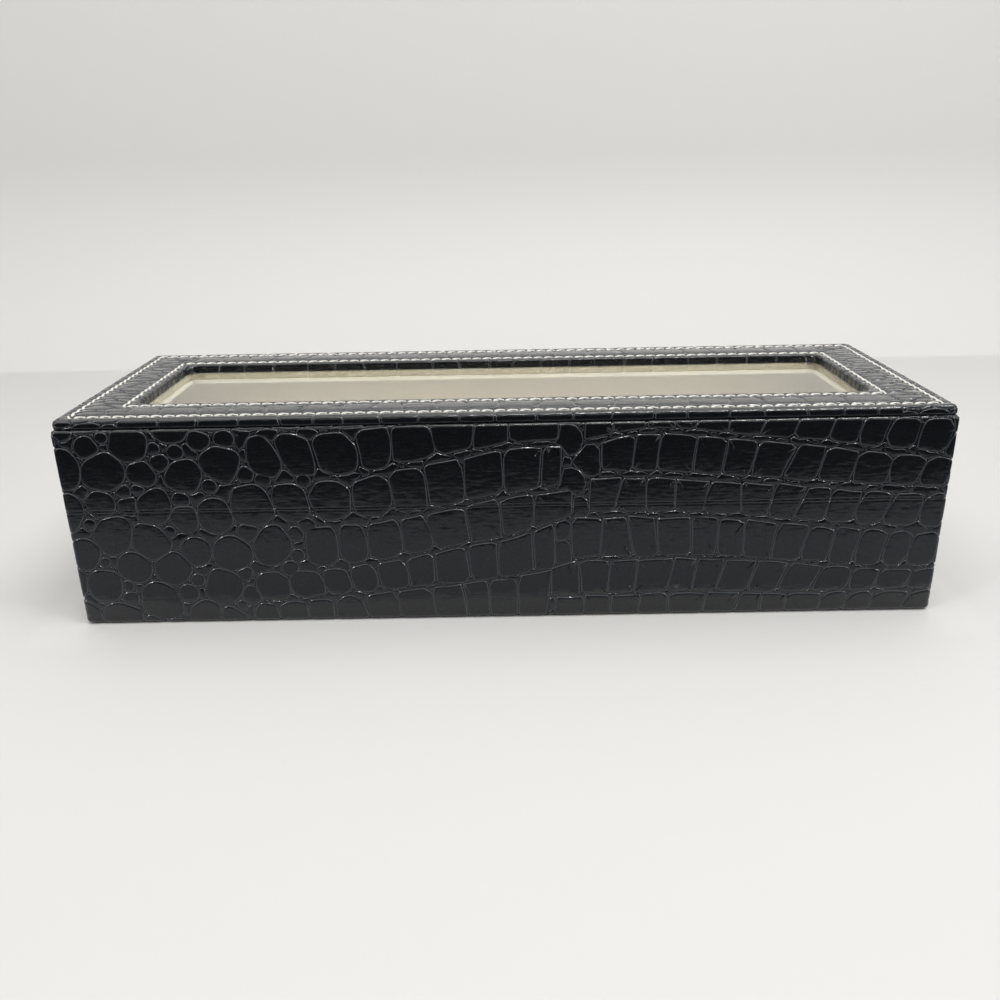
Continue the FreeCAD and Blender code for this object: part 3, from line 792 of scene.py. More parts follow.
    def power_cell(self, seeds: Array, index: int) -> Array | None:
        """Rounded outline of the ground that is nearer to one seed than to its neighbours.

        Args:
            seeds: Rows of x, y and radius.
            index: Which seed.

        Returns:
            The outline, or None where nothing is left of it.
        """
        x, y, radius = seeds[index]
        reach = radius * self.dice.uniform(*self.FLANK_REACH)
        angle = np.linspace(0, 2 * math.pi, self.OUTLINE_POINTS, endpoint=False)
        ways = np.stack([np.cos(angle), np.sin(angle)], axis=1)
        limit = np.full(len(angle), reach)
        gaps = seeds[:, :2] - seeds[index, :2]
        spans = np.hypot(gaps[:, 0], gaps[:, 1])
        for other in np.nonzero((spans > 0) & (spans < reach + seeds[:, 2] * 1.4))[0]:
            border = (spans[other] ** 2 + radius**2 - seeds[other, 2] ** 2) / (2 * spans[other])
            toward = ways @ (gaps[other] / spans[other])
            facing = toward > 1e-3
            limit[facing] = np.minimum(
                limit[facing], (border - self.GROOVE / 2) / toward[facing]
            )
        if limit.min() < self.LEAST_CELL:
            return None
        for _ in range(2):
            limit = 0.5 * limit + 0.25 * (np.roll(limit, 1) + np.roll(limit, -1))
        limit = np.minimum(limit, limit.min() * self.LONGEST_CELL)
        return np.array([x, y]) + ways * limit[:, None]

    def fill(
        self, smallest: float = 0.24, reach: float = 7.0, window: "RoundedFrame | None" = None
    ) -> None:
        """Presses small filler scales into whatever ground is still open.

        Args:
            smallest: Least half width of a filler.
            reach: How far a filler may run along a valley.
            window: Ground that is cut away, where no filler goes.
        """
        step = self.FIELD_STEP
        counts = np.ceil((self.high - self.low) / step).astype(int) + 1
        xs = self.low[0] + np.arange(counts[0]) * step
        ys = self.low[1] + np.arange(counts[1]) * step
        distance = np.full((counts[0], counts[1]), self.UNREACHED)
        for scale in self.scales:
            self.lay_down(distance, xs, ys, scale.outline)
        edge = int(self.EDGE_KEEP / step)
        angle = np.linspace(0, 2 * math.pi, self.FILLER_POINTS, endpoint=False)
        ways = np.stack([np.cos(angle), np.sin(angle)], axis=1)
        need = smallest + self.GROOVE
        open_ground = distance.copy()
        if window is not None:
            grid_x, grid_y = np.meshgrid(xs, ys, indexing="ij")
            open_ground[window.nearest(grid_x, grid_y)[0] < 0] = -1
        open_ground[:edge] = open_ground[-edge:] = -1
        open_ground[:, :edge] = open_ground[:, -edge:] = -1
        for _ in range(self.MOST_FILLERS):
            best = np.unravel_index(np.argmax(open_ground), open_ground.shape)
            if open_ground[best] < need:
                break
            spot = np.array([xs[best[0]], ys[best[1]]])
            limit = np.full(len(ways), reach)
            alive = np.ones(len(ways), bool)
            for travel in np.arange(step, reach, step):
                probe = spot + ways * travel
                cell = ((probe - self.low) / step).round().astype(int)
                i, j = np.clip(cell, 0, counts - 1).T
                stop = alive & (distance[i, j] < self.GROOVE)
                limit[stop] = travel - step * 0.5
                alive &= ~stop
            limit = np.minimum(limit, 6.0 * open_ground[best])
            limit = 0.7 * limit + 0.15 * (np.roll(limit, 1) + np.roll(limit, -1))
            outline = spot + ways * np.maximum(limit * 0.96, 0.25)[:, None]
            self.scales.append(Scale(outline, level=self.FILLER_LEVEL))
            self.lay_down(distance, xs, ys, outline)
            i0, i1 = np.searchsorted(xs, [spot[0] - reach - 3, spot[0] + reach + 3])
            j0, j1 = np.searchsorted(ys, [spot[1] - reach - 3, spot[1] + reach + 3])
            around = open_ground[i0:i1, j0:j1]
            np.minimum(around, distance[i0:i1, j0:j1], out=around)
            open_ground[best] = -1

    @classmethod
    def lay_down(cls, distance: Array, xs: Array, ys: Array, outline: Array) -> None:
        """Lowers a distance field to the distance from one outline, negative inside it."""
        low, high = outline.min(axis=0) - cls.FIELD_PAD, outline.max(axis=0) + cls.FIELD_PAD
        i0, i1 = np.searchsorted(xs, [low[0], high[0]])
        j0, j1 = np.searchsorted(ys, [low[1], high[1]])
        if i1 <= i0 or j1 <= j0:
            return
        grid = np.stack(np.meshgrid(xs[i0:i1], ys[j0:j1], indexing="ij"), axis=-1)[..., None, :]
        start, end = outline, np.roll(outline, -1, axis=0)
        step = end - start
        offset = grid - start
        share = (offset * step).sum(-1) / np.maximum((step * step).sum(-1), 1e-9)
        nearest = offset - np.clip(share, 0, 1)[..., None] * step
        away = np.sqrt((nearest * nearest).sum(-1).min(-1))
        spans = (start[:, 1] > grid[..., 1]) != (end[:, 1] > grid[..., 1])
        slope = step[:, 0] / np.where(np.abs(step[:, 1]) < 1e-12, 1e-12, step[:, 1])
        cross = grid[..., 0] < slope * (grid[..., 1] - start[:, 1]) + start[:, 0]
        inside = (spans & cross).sum(-1) % 2 == 1
        around = distance[i0:i1, j0:j1]
        np.minimum(around, np.where(inside, -away, away), out=around)

    def relief(self, depth: float) -> Mesh:
        """Raises every scale out of the sheet.

        Args:
            depth: How deep the grooves lie under the tops of the scales.

        Returns:
            Points of place along, place across, height and how far they lie in the grooves,
            which weights the painted sheen there, and the faces between them.
        """
        points: list[Array] = []
        faces: list[Face] = []
        count = 0
        for scale in self.scales:
            outline = scale.outline
            centre = scale.centre
            spans = np.linalg.norm(outline - centre, axis=1)
            inner = float(spans.min())
            if inner < self.SMALL and len(outline) >= self.OUTLINE_POINTS:
                outline = outline[::2]
            size = len(outline)
            share = min(1.0, inner / 2.2)
            edge = np.roll(outline, -1, axis=0) - np.roll(outline, 1, axis=0)
            normal = np.stack([edge[:, 1], -edge[:, 0]], axis=1)
            normal /= np.maximum(np.linalg.norm(normal, axis=1), 1e-9)[:, None]
            dome = self.DOME * min(1.0, inner / 5)
            tilt = self.dice.normal(0, self.TILT_SPREAD, 2)
            # The last number of each ring weights the painted sheen in the grooves.
            rings = [(outline + normal * self.FOOT_OUT, -depth - self.FOOT_UNDER, 1.0)]
            rings += [
                (outline - normal * inset * share, -depth * under, groove_sheen_weight)
                for inset, under, groove_sheen_weight in self.SHOULDERS
            ]
            if inner > self.SMALL:
                rings.append((outline - normal * share, 0.0, 0.0))
                rings.append((centre + (outline - centre) * 0.5, dome, 0.0))
            for index, (ring, height, groove_sheen_weight) in enumerate(rings):
                level = height + (scale.level if index > 0 else 0.0)
                lift = level + ((ring - centre) @ tilt) * (index > 2)
                lift = np.broadcast_to(lift, (size,))
                points.append(np.column_stack([ring, lift, np.full(size, groove_sheen_weight)]))
            points.append(np.array([[centre[0], centre[1], dome + scale.level, 0.0]]))
            for ring_index in range(len(rings) - 1):
                faces += band(count + ring_index * size, size)
            last = count + (len(rings) - 1) * size
            tip = last + size
            for k in range(size):
                faces.append((last + k, last + (k + 1) % size, tip))
            count += len(rings) * size + 1
        return np.concatenate(points), faces


def band(first: int, size: int) -> list[Face]:
    """Faces between a closed ring of points and the next one, by the first ring's first point."""
    after = first + size
    turns = [(k, (k + 1) % size) for k in range(size)]
    return [(first + k, first + n, after + n, after + k) for k, n in turns]


def cut_flat(
    points: Array,
    faces: Sequence[Face],
    lines: Sequence[tuple[int, float]],
    low: Point,
    high: Point,
) -> Mesh:
    """Cuts a flat relief along fold lines and trims it to a rectangle.

    Args:
        points: Points of the relief.
        faces: Its faces.
        lines: Pairs of axis number and place to cut at.
        low: Lowest corner of what stays.
        high: Highest corner.

    Returns:
        The new points and faces.
    """
    spots = [tuple(p) for p in points]
    for axis in (0, 1):
        places = sorted({p for a, p in lines if a == axis} | {low[axis], high[axis]})
        faces = cut_axis(spots, faces, axis, places)
    array = np.array(spots)
    middles = array[even_table(faces), :2].mean(axis=1)
    kept = np.all((middles > low) & (middles < high), axis=1)
    faces = [face for face, stays in zip(faces, kept) if stays]
    used = np.unique(even_table(faces))
    fresh = np.zeros(len(array), int)
    fresh[used] = np.arange(len(used))
    return array[used], [tuple(int(fresh[i]) for i in face) for face in faces]


def even_table(faces: Sequence[Face]) -> Array:
    """Point numbers of faces as one table, with each face's last point repeated to fill it."""
    longest = max(len(face) for face in faces)
    return np.array([face + (face[-1],) * (longest - len(face)) for face in faces])


def cut_axis(
    spots: list[tuple[float, ...]],
    faces: Sequence[Face],
    axis: int,
    places: Sequence[float],
) -> list[Face]:
    """Cuts faces at places along one axis, adding the new points to the list of spots."""
    values = np.array([spot[axis] for spot in spots])
    table = even_table(faces)
    least, most = values[table].min(axis=1), values[table].max(axis=1)
    first = np.searchsorted(places, least, side="right")
    last = np.searchsorted(places, most, side="left")
    whole = first >= last
    result = [face for face, is_whole in zip(faces, whole) if is_whole]
    fresh: dict[tuple[int, int, float], int] = {}
    for index in np.nonzero(~whole)[0]:
        rest = faces[index]
        for place in places[first[index] : last[index]]:
            below, rest = split_face(spots, rest, axis, place, fresh)
            if len(below) > 2:
                result.append(below)
            if len(rest) < 3:
                break
        else:
            result.append(rest)
    return result


def split_face(
    spots: list[tuple[float, ...]],
    face: Face,
    axis: int,
    place: float,
    fresh: dict[tuple[int, int, float], int],
) -> tuple[Face, Face]:
    """Splits one face at a place along an axis.

    Args:
        spots: All points; the new ones are added to it.
        face: Point numbers of the face.
        axis: Axis number.
        place: Where to cut.
        fresh: Points already made on the edges that were cut.

    Returns:
        The part below the place and the part above it.
    """
    below: list[int] = []
    above: list[int] = []
    for here, there in zip(face, face[1:] + face[:1]):
        value, other = spots[here][axis] - place, spots[there][axis] - place
        if value <= 0:
            below.append(here)
        if value >= 0:
            above.append(here)
        if value * other < 0:
            key = (min(here, there), max(here, there), place)
            if key not in fresh:
                p, q = spots[key[0]], spots[key[1]]
                share = (place - p[axis]) / (q[axis] - p[axis])
                fresh[key] = len(spots)
                spots.append(tuple(u + (v - u) * share for u, v in zip(p, q)))
            below.append(fresh[key])
            above.append(fresh[key])
    return tuple(below), tuple(above)


def spaced(low: float, high: float, step: float, extra: Sequence[float] = ()) -> Array:
    """Places from low to high about a step apart, with some extra ones, in order."""
    places = list(np.linspace(low, high, max(2, int(round((high - low) / step)) + 1)))
    places += [p for p in extra if low < p < high]
    places.sort()
    kept = [places[0]]
    for place in places[1:]:
        if place - kept[-1] > 0.02:
            kept.append(place)
    return np.array(kept)


def closed_sheet(xs: Array, ys: Array, top: Surface, under: Surface) -> Mesh:
    """A sheet with a top, an underside and edges.

    Args:
        xs: Places along.
        ys: Places across.
        top: Gives points of the top from places along and across.
        under: Gives points of the underside.

    Returns:
        Points and faces.
    """
    along, across = np.meshgrid(xs, ys, indexing="ij")
    upper = top(along.ravel(), across.ravel())
    lower = under(along.ravel(), across.ravel())
    nx, ny = len(xs), len(ys)
    count = nx * ny
    faces = []
    for i in range(nx - 1):
        for j in range(ny - 1):
            a, b, c, d = i * ny + j, (i + 1) * ny + j, (i + 1) * ny + j + 1, i * ny + j + 1
            faces.append((a, b, c, d))
            faces.append((count + d, count + c, count + b, count + a))
    rim = [i * ny for i in range(nx)]
    rim += [(nx - 1) * ny + j for j in range(1, ny)]
    rim += [i * ny + ny - 1 for i in range(nx - 2, -1, -1)]
    rim += [j for j in range(ny - 2, 0, -1)]
    for k, a in enumerate(rim):
        b = rim[(k + 1) % len(rim)]
        faces.append((a, count + a, count + b, b))
    return np.concatenate([upper, lower]), faces


def make_object(
    name: str,
    points: Array,
    faces: Sequence[Face],
    material: bpy.types.Material,
    groove_sheen_weight: Array | None = None,
) -> bpy.types.Object:
    """Makes a smooth-shaded mesh object from points in millimetres.

    Args:
        name: The piece's name.
        points: Rows of x, y and z.
        faces: Point numbers of each face.
        material: Its finish.
        groove_sheen_weight: How far each of the first points lies in the grooves, from 0 to 1,
            which
        weights the painted sheen there.

    Returns:
        The object, linked to the scene.
    """
    mesh = bpy.data.meshes.new(name)
    mesh.from_pydata((np.asarray(points) * MM).tolist(), [], [tuple(f) for f in faces])
    # Stores the weights of the painted sheen in the grooves.
    if groove_sheen_weight is not None:
        layer = mesh.attributes.new(GROOVE_SHEEN_LAYER, "FLOAT", "POINT")
        layer.data.foreach_set("value", np.pad(groove_sheen_weight, (0, len(points) - len(groove_sheen_weight))))
    mesh.validate()
    tidy = bmesh.new()
    tidy.from_mesh(mesh)
    bmesh.ops.dissolve_degenerate(tidy, dist=1e-7, edges=tidy.edges[:])
    tidy.to_mesh(mesh)
    tidy.free()
    mesh.polygons.foreach_set("use_smooth", [True] * len(mesh.polygons))
    mesh.materials.append(material)
    piece = bpy.data.objects.new(name, mesh)
    bpy.context.scene.collection.objects.link(piece)
    return piece


def merge(
    *pieces: tuple[Array, Sequence[Face]]
) -> Mesh:
    """Puts several meshes' points and faces together."""
    points = []
    faces = []
    count = 0
    for some_points, some_faces in pieces:
        points.append(some_points)
        faces.extend(tuple(i + count for i in face) for face in some_faces)
        count += len(some_points)
    return np.concatenate(points), faces


@dataclass(frozen=True)
class CaseSizes:
    """Sizes of the case in millimetres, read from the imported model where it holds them."""

    half_x: float
    half_y: float
    foot: float
    seam: float
    wall_top: float
    rim_gap: float = 0.5
    leather: float = 0.8
    board: float = 6.0
    corner_round: float = 2.0
    edge_round: float = 1.5
    rim_round: float = 0.6
    turn_under: float = 12.0
    groove_depth: float = 0.36

    @classmethod
    def from_frame(cls) -> "CaseSizes":
        """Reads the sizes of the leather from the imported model."""
        low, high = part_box("base_wrap")
        seam = next(j for j in frame["joints"] if j["name"] == "lid_hinge")["pos_m"][2]
        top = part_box("lid_wrap")[1].z
        return cls(high.x / MM, high.y / MM, low.z / MM, seam / MM, top / MM)


    @property
    def turn_in(self) -> float:
        """How far leather that is turned in reaches from the outer face."""
        return self.leather + self.board

    @property
    def base_rim(self) -> float:
        """Height of the base's rim."""
        return self.seam - self.rim_gap / 2

    @property
    def lid_rim(self) -> float:
        """Height of the lid's rim when it is shut."""
        return self.seam + self.rim_gap / 2


SIZES = CaseSizes.from_frame()


def three_sides(x: float, y: float) -> FoldedPath:
    """Plan of a cover from the hinge side's turned-in edge, round one long side, and back.

    Args:
        x: Half length, with the sign of the end at which it starts.
        y: Place of the long side.

    Returns:
        The plan.
    """
    rear = SIZES.turn_under - SIZES.half_y
    return FoldedPath([(x, rear), (x, y), (-x, y), (-x, rear)], [SIZES.corner_round] * 2)


class Cover:
    """A piece of leatherette folded over boards: a plan path, and a profile swept along it."""

    FOLD_STEPS = 5

    def __init__(self, name: str, plan: FoldedPath, profile: FoldedPath, hide: Hide) -> None:
        self.name = name
        self.plan = plan
        self.profile = profile
        self.hide = hide
        self.extra_lines: list[tuple[int, float]] = []
        self.dent: Surface | None = None
        self.relief = hide.relief(SIZES.groove_depth)

    def folded(self, along: Array, across: Array, height: Array) -> Array:
        """Points of the folded cover.

        Args:
            along: Places along the plan.
            across: Places along the profile.
            height: Heights over the outer surface.

        Returns:
            Points in the box's frame.
        """
        if self.dent is not None:
            height = height - self.dent(along, across)
        flat = self.profile.at(across, height)
        plan = self.plan.at(along, flat[:, 0])
        return np.column_stack([plan, flat[:, 1]])

    def build(
        self,
        low: Point = (0.0, 0.0),
        high: Point | None = None,
    ) -> bpy.types.Object:
        """Builds the cover, or a part of it: a closed sheet with every scale raised on it.

        Args:
            low: Lowest corner of the part on the flat sheet.
            high: Highest corner, or None for the whole sheet.

        Returns:
            The piece.
        """
        depth = SIZES.groove_depth
        lines = [(0, place) for place in self.plan.folds(self.FOLD_STEPS)]
        lines += [(1, place) for place in self.profile.folds(self.FOLD_STEPS)]
        lines += self.extra_lines
        if high is None:
            high = (self.plan.length, self.profile.length)
        points, faces = cut_flat(*self.relief, lines, low, high)
        raised = self.folded(points[:, 0], points[:, 1], points[:, 2])
        xs = spaced(low[0], high[0], 4.0, [p for a, p in lines if a == 0])
        ys = spaced(low[1], high[1], 4.0, [p for a, p in lines if a == 1])
        sheet = closed_sheet(
            xs,
            ys,
            lambda s, t: self.folded(s, t, np.full(s.shape, -depth)),
            lambda s, t: self.folded(s, t, np.full(s.shape, -SIZES.leather)),
        )
        piece = make_object(
            self.name,
            *merge((raised, faces), sheet),
            finish_of(Finish.LEATHERETTE),
            groove_sheen_weight=points[:, 3],
        )
        LOG.info("%s: %d faces", self.name, len(faces))
        return piece


class RearCover:
    """The leather on the hinge side, one sheet that is also the hinge."""

    CREASES = (-0.55, 0.5)
    CREASE_HALF = 0.22
    BLEND_HALF = 1.6
    CORNER_KEEP = 0.4

    def __init__(self) -> None:
        s = SIZES
        self.plan = three_sides(-s.half_x, -s.half_y)
        self.profile = FoldedPath(
            [
                (-s.turn_under, s.foot),
                (0.0, s.foot),
                (0.0, s.wall_top),
                (-s.turn_in, s.wall_top),
            ],
            [s.edge_round, s.edge_round],
        )
        self.x_shift = s.turn_under - (2 - math.pi / 2) * s.corner_round
        self.z_shift = s.turn_under - (2 - math.pi / 2) * s.edge_round - s.foot

    def on_sheet(self, points: Sequence[Point]) -> list[Point]:
        """Turns points given by length from the left end and height into points on the sheet."""
        return [(x + self.x_shift, z + self.z_shift) for x, z in points]

    def rows(self) -> list[ScaleRow]:
        """Rows of belly scales: rising to the right on the left half, falling on the right half."""
        left_edges = [
            [(30, -14), (180, -14)],
            [(30, -4), (180, -3)],
            [(30, 6), (86, 9), (160, 16.5), (182, 21)],
            [(30, 20), (85, 21.5), (110, 23.5), (130, 27), (160, 32.5), (186, 41)],
            [(30, 37), (88, 39.5), (110, 40.5), (130, 43.5), (160, 49.5), (182, 52)],
            [(30, 56), (70, 56.5), (103, 57.5), (120, 60.5), (140, 64.5), (160, 68), (180, 69)],
            [(30, 75), (100, 75), (130, 79), (180, 80)],
            [(30, 88), (180, 90)],
        ]
        right_edges = [
            [(170, -14), (340, -14)],
            [(170, -3), (340, -3)],
            [(170, 8.5), (230, 9.5), (260, 8.5), (340, 9)],
            [(176, 20), (186, 23.5), (230, 24), (262, 21.5), (290, 18.5), (340, 17)],
            [(186, 41.5), (230, 40.5), (250, 39), (275, 36), (300, 34), (340, 32)],
            [(190, 57), (215, 56.5), (240, 54.5), (262, 53), (285, 50.5), (340, 47)],
            [(186, 68), (205, 73), (220, 73), (240, 70.5), (270, 67.5), (300, 64), (340, 60)],
            [(186, 80), (220, 83), (270, 80), (340, 74)],
            [(186, 92), (340, 90)],
        ]
        left_spans = [(48, 176), (64, 176), (66, 178), (86, 184), (60, 180), (68, 179), (49, 178)]
        right_spans = [(176, 334), (178, 334), (176, 334), (184, 334), (190, 334), (194, 334),
                       (188, 318), (178, 334)]
        left_round = [(30, 0.8), (100, 0.72), (125, 0.5), (160, 0.28), (190, 0.15)]
        right_round = [(170, 0.15), (250, 0.2), (285, 0.55), (340, 0.7)]
        left_lean = [(60, -1.2), (140, -1.2), (175, 0.3)]
        right_lean = [(180, 0.6), (215, 0.0), (250, 1.2), (320, 1.8)]
        left_gaps = [1.0, 0.9, 1.0, 1.9, 2.3, 2.2, 1.2]
        right_gaps = [0.9, 0.7, 0.9, 1.8, 2.4, 2.3, 1.7, 1.0]
        widths = [10.5, 11.0, 11.5, 12.5, 13.5, 14.0, 13.0]
        shift = self.x_shift
        halves = (
            (left_edges, left_spans, widths, left_round, left_gaps, left_lean),
            (right_edges, right_spans, [10.8] * 8, right_round, right_gaps, right_lean),
        )
        return [
            ScaleRow(
                self.on_sheet(lower),
                self.on_sheet(upper),
                (span[0] + shift, span[1] + shift),
                width,
                [(x + shift, roundness) for x, roundness in rounds],
                gap,
                [(x + shift, lean) for x, lean in leans],
            )
            for edges, spans, half_widths, rounds, gaps, leans in halves
            for lower, upper, span, width, gap in zip(edges, edges[1:], spans, half_widths, gaps)
        ]

    def hide(self) -> Hide:
        """The pattern of the sheet."""
        hide = Hide((0, 0), (self.plan.length, self.profile.length), seed=11)
        for row in self.rows():
            hide.add_row(row)
        beside = [s for s in hide.scales if s.centre[0] < 110 + self.x_shift]
        hide.add_flank(
            (-4, -4), (92 + self.x_shift, self.profile.length + 4), (1.9, 6.4), beside
        )
        hide.fill()
        return hide

    def crease(self, along: Array, across: Array) -> Array:
        """Depth of the two creases that opening and shutting has pressed beside the seam."""
        height = across - self.z_shift - SIZES.seam
        dent = np.zeros(along.shape)
        for place in self.CREASES:
            wander = 0.12 * np.sin(along * 0.045 + place) + 0.05 * np.sin(along * 0.31)
            dent += 0.2 * np.exp(-(((height - place - wander) / self.CREASE_HALF) ** 2))
        return dent

    def build(self) -> None:
        """Builds the sheet, creased at the seam, and its turned-in parts, fixed to base and lid."""
        cover = Cover("rear_leather_sheet", self.plan, self.profile, self.hide())
        seam = SIZES.seam + self.z_shift
        cover.extra_lines = [(1, seam + k * 0.16) for k in range(-8, 9)]
        cover.extra_lines += [(1, seam + side * z) for side in (-1, 1) for z in (1.5, 1.9)]
        cover.dent = self.crease
        start = self.plan.arcs[0][0] - self.CORNER_KEEP
        end = self.plan.length - start
        piece = cover.build((start, 0.0), (end, self.profile.length))
        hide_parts("rear_leather_lower", "rear_leather_upper")
        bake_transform(piece)
        half_gap = SIZES.rim_gap / 2
        for side, s0, s1 in (("left", 0.0, start), ("right", end, self.plan.length)):
            for body, t0, t1 in (
                ("base", 0.0, seam - half_gap),
                ("lid", seam + half_gap, self.profile.length),
            ):
                cover.name = f"rear_leather_flap_{side}_{body}"
                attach(cover.build((s0, t0), (s1, t1)), body)
        self.build_rims()

    def build_rims(self) -> None:
        """Builds the leather that is turned in over the rims on the hinge side."""
        skin, inner = SIZES.leather, SIZES.turn_in
        low, high = SIZES.base_rim, SIZES.lid_rim
        for body, corners, seed in (
            ("base", [(-skin, low), (-inner, low)], 51),
            ("lid", [(-inner, high), (-skin, high)], 52),
        ):
            profile = FoldedPath(corners, [])
            size = (self.plan.length, profile.length)
            hide = belly_hide(size, seed, (-30.0, -30.0))
            cover = Cover(f"rear_rim_leather_{body}", self.plan, profile, hide)
            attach(cover.build(), body)


def belly_hide(
    size: Point,
    seed: int,
    flank: Point,
    pitch: float = 13.5,
    width: float = 11.0,
) -> Hide:
    """Pattern of a sheet: wavy rows of belly scales, with flank scales over one stretch of it.

    Args:
        size: Length and width of the sheet.
        seed: Seed of the pattern.
        flank: Where the flank scales start and end along the sheet.
        pitch: Usual height of a row.
        width: Usual width of a belly scale.

    Returns:
        The pattern.
    """
    length, height = size
    hide = Hide((0.0, 0.0), size, seed)
    dice = hide.dice
    knots = np.arange(-40.0, length + 80.0, 55.0)
    drift = np.cumsum(dice.normal(0, 2.6, len(knots)))
    drift -= drift.mean()
    spans = []
    if flank[0] > 20:
        spans.append((-8.0, flank[0]))
    if flank[1] < length - 20:
        spans.append((flank[1], length + 8.0))
    edges = []
    level = -pitch * 1.5 + dice.uniform(-4, 4)
    while level < height + pitch * 1.6:
        wave = dice.normal(0, 0.8, len(knots))
        edges.append([(x, level + d + w) for x, d, w in zip(knots, drift, wave)])
        level += pitch * dice.uniform(0.88, 1.12)
    roundness = [(x, dice.uniform(0.05, 0.55)) for x in knots]
    for lower, upper in zip(edges, edges[1:]):
        gap = dice.uniform(0.7, 2.0)
        for start, end in spans:
            span = (start + dice.uniform(-7, 0), end + dice.uniform(0, 7))
            hide.add_row(ScaleRow(lower, upper, span, width, roundness, gap))
    if flank[1] > flank[0]:
        near = [
            s for s in hide.scales if flank[0] - 22 < s.centre[0] < flank[1] + 22
        ]
        hide.add_flank((flank[0] - 5, -4), (flank[1] + 5, height + 4), (1.9, 6.4), near)
    hide.fill()
    return hide


class WrapCover:
    """The leather round the front and both ends of the base or of the lid."""

    def __init__(
        self,
        name: str,
        body: str,
        profile: FoldedPath,
        seed: int,
        flank: Point,
    ) -> None:
        self.name = name
        self.body = body
        self.profile = profile
        self.seed = seed
        self.flank = flank
        self.plan = three_sides(SIZES.half_x, SIZES.half_y)

    def build(self) -> bpy.types.Object:
        """Builds the cover in place of its plain solid."""
        size = (self.plan.length, self.profile.length)
        hide = belly_hide(size, self.seed, self.flank)
        cover = Cover(f"{self.name}_embossed", self.plan, self.profile, hide)
        piece = cover.build()
        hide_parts(self.name)
        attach(piece, self.body)
        return piece


def base_cover() -> WrapCover:
    """The base's cover: turned under at the foot and turned in over the rim."""
    s = SIZES
    rim = s.base_rim
    corners = [(-s.turn_under, s.foot), (0.0, s.foot), (0.0, rim), (-s.turn_in, rim)]
    profile = FoldedPath(corners, [s.edge_round, s.rim_round])
    return WrapCover("base_wrap", "base", profile, seed=23, flank=(-10.0, 128.0))


def lid_cover() -> WrapCover:
    """The lid's cover: turned in over the rim and over the top edge."""
    s = SIZES
    rim = s.lid_rim
    corners = [(-s.turn_in, rim), (0.0, rim), (0.0, s.wall_top), (-s.turn_in, s.wall_top)]
    profile = FoldedPath(corners, [s.rim_round, s.edge_round])
    return WrapCover("lid_wrap", "lid", profile, seed=37, flank=(404.0, 560.0))


@dataclass(frozen=True)
class RoundedFrame:
    """A rectangle about the middle with rounded corners, in millimetres."""

    half_x: float
    half_y: float
    radius: float

    def grown(self, margin: float) -> "RoundedFrame":
        """The same outline, moved outwards."""
        return RoundedFrame(
            self.half_x + margin, self.half_y + margin, max(0.01, self.radius + margin)
        )

    def nearest(self, x: Array, y: Array) -> tuple[Array, Array, Array, Array]:
        """Signed distance from the outline, positive outside, and the way outwards.

        Args:
            x: Places along X.
            y: Places along Y.

        Returns:
            The distance, the outward x and y, and where the distance is outside a side.
        """
        qx = np.abs(x) - (self.half_x - self.radius)
        qy = np.abs(y) - (self.half_y - self.radius)
        ox, oy = np.maximum(qx, 0), np.maximum(qy, 0)
        reach = np.hypot(ox, oy)
        inside = reach < 1e-9
        distance = np.where(inside, np.maximum(qx, qy), reach) - self.radius
        nx = np.where(inside, (qx >= qy).astype(float), ox / np.maximum(reach, 1e-9))
        ny = np.where(inside, (qx < qy).astype(float), oy / np.maximum(reach, 1e-9))
        return distance, nx * np.sign(x), ny * np.sign(y), inside

    def loop(self, side_steps: tuple[int, int], corner_steps: int) -> tuple[Array, Array]:
        """Points round the outline, with the outward way at each.

        Args:
            side_steps: Steps on the long and the short sides.
            corner_steps: Steps round each corner.

        Returns:
            Points and outward ways, anticlockwise from the right end's foot.
        """
        points, ways = [], []
        mx, my = self.half_x - self.radius, self.half_y - self.radius
        corners = [(mx, -my, -90), (mx, my, 0), (-mx, my, 90), (-mx, -my, 180)]
        for index, (cx, cy, first) in enumerate(corners):
            for k in range(corner_steps + 1):
                angle = math.radians(first + 90 * k / corner_steps)
                way = (math.cos(angle), math.sin(angle))
                ways.append(way)
                points.append((cx + self.radius * way[0], cy + self.radius * way[1]))
            nx, ny, _ = corners[(index + 1) % 4]
            end = math.radians(first + 90)
            way = (math.cos(end), math.sin(end))
            start = points[-1]
            stop = (nx + self.radius * way[0], ny + self.radius * way[1])
            steps = side_steps[1] if index % 2 == 0 else side_steps[0]
            for k in range(1, steps):
                share = k / steps
                points.append(tuple(a + (b - a) * share for a, b in zip(start, stop)))
                ways.append(way)
        return np.array(points), np.array(ways)

    @property
    def perimeter(self) -> float:
        """Length of the outline."""
        straight = 4 * (self.half_x + self.half_y - 2 * self.radius)
        return straight + 2 * math.pi * self.radius

    def walk(self, count: int) -> tuple[Array, Array]:
        """Evenly spaced points round the outline, with the way onwards at each."""
        points, _ = self.loop((60, 30), 6)
        ring = np.vstack([points, points[:1]])
        spans = np.linalg.norm(np.diff(ring, axis=0), axis=1)
        run = np.concatenate([[0], np.cumsum(spans)])
        places = (np.arange(count) + 0.5) / count * run[-1]
        x = np.interp(places, run, ring[:, 0])
        y = np.interp(places, run, ring[:, 1])
        ahead = (places + 0.2) % run[-1]
        ax = np.interp(ahead, run, ring[:, 0]) - x
        ay = np.interp(ahead, run, ring[:, 1]) - y
        ways = np.stack([ax, ay], axis=1)
        return np.stack([x, y], axis=1), ways / np.linalg.norm(ways, axis=1)[:, None]


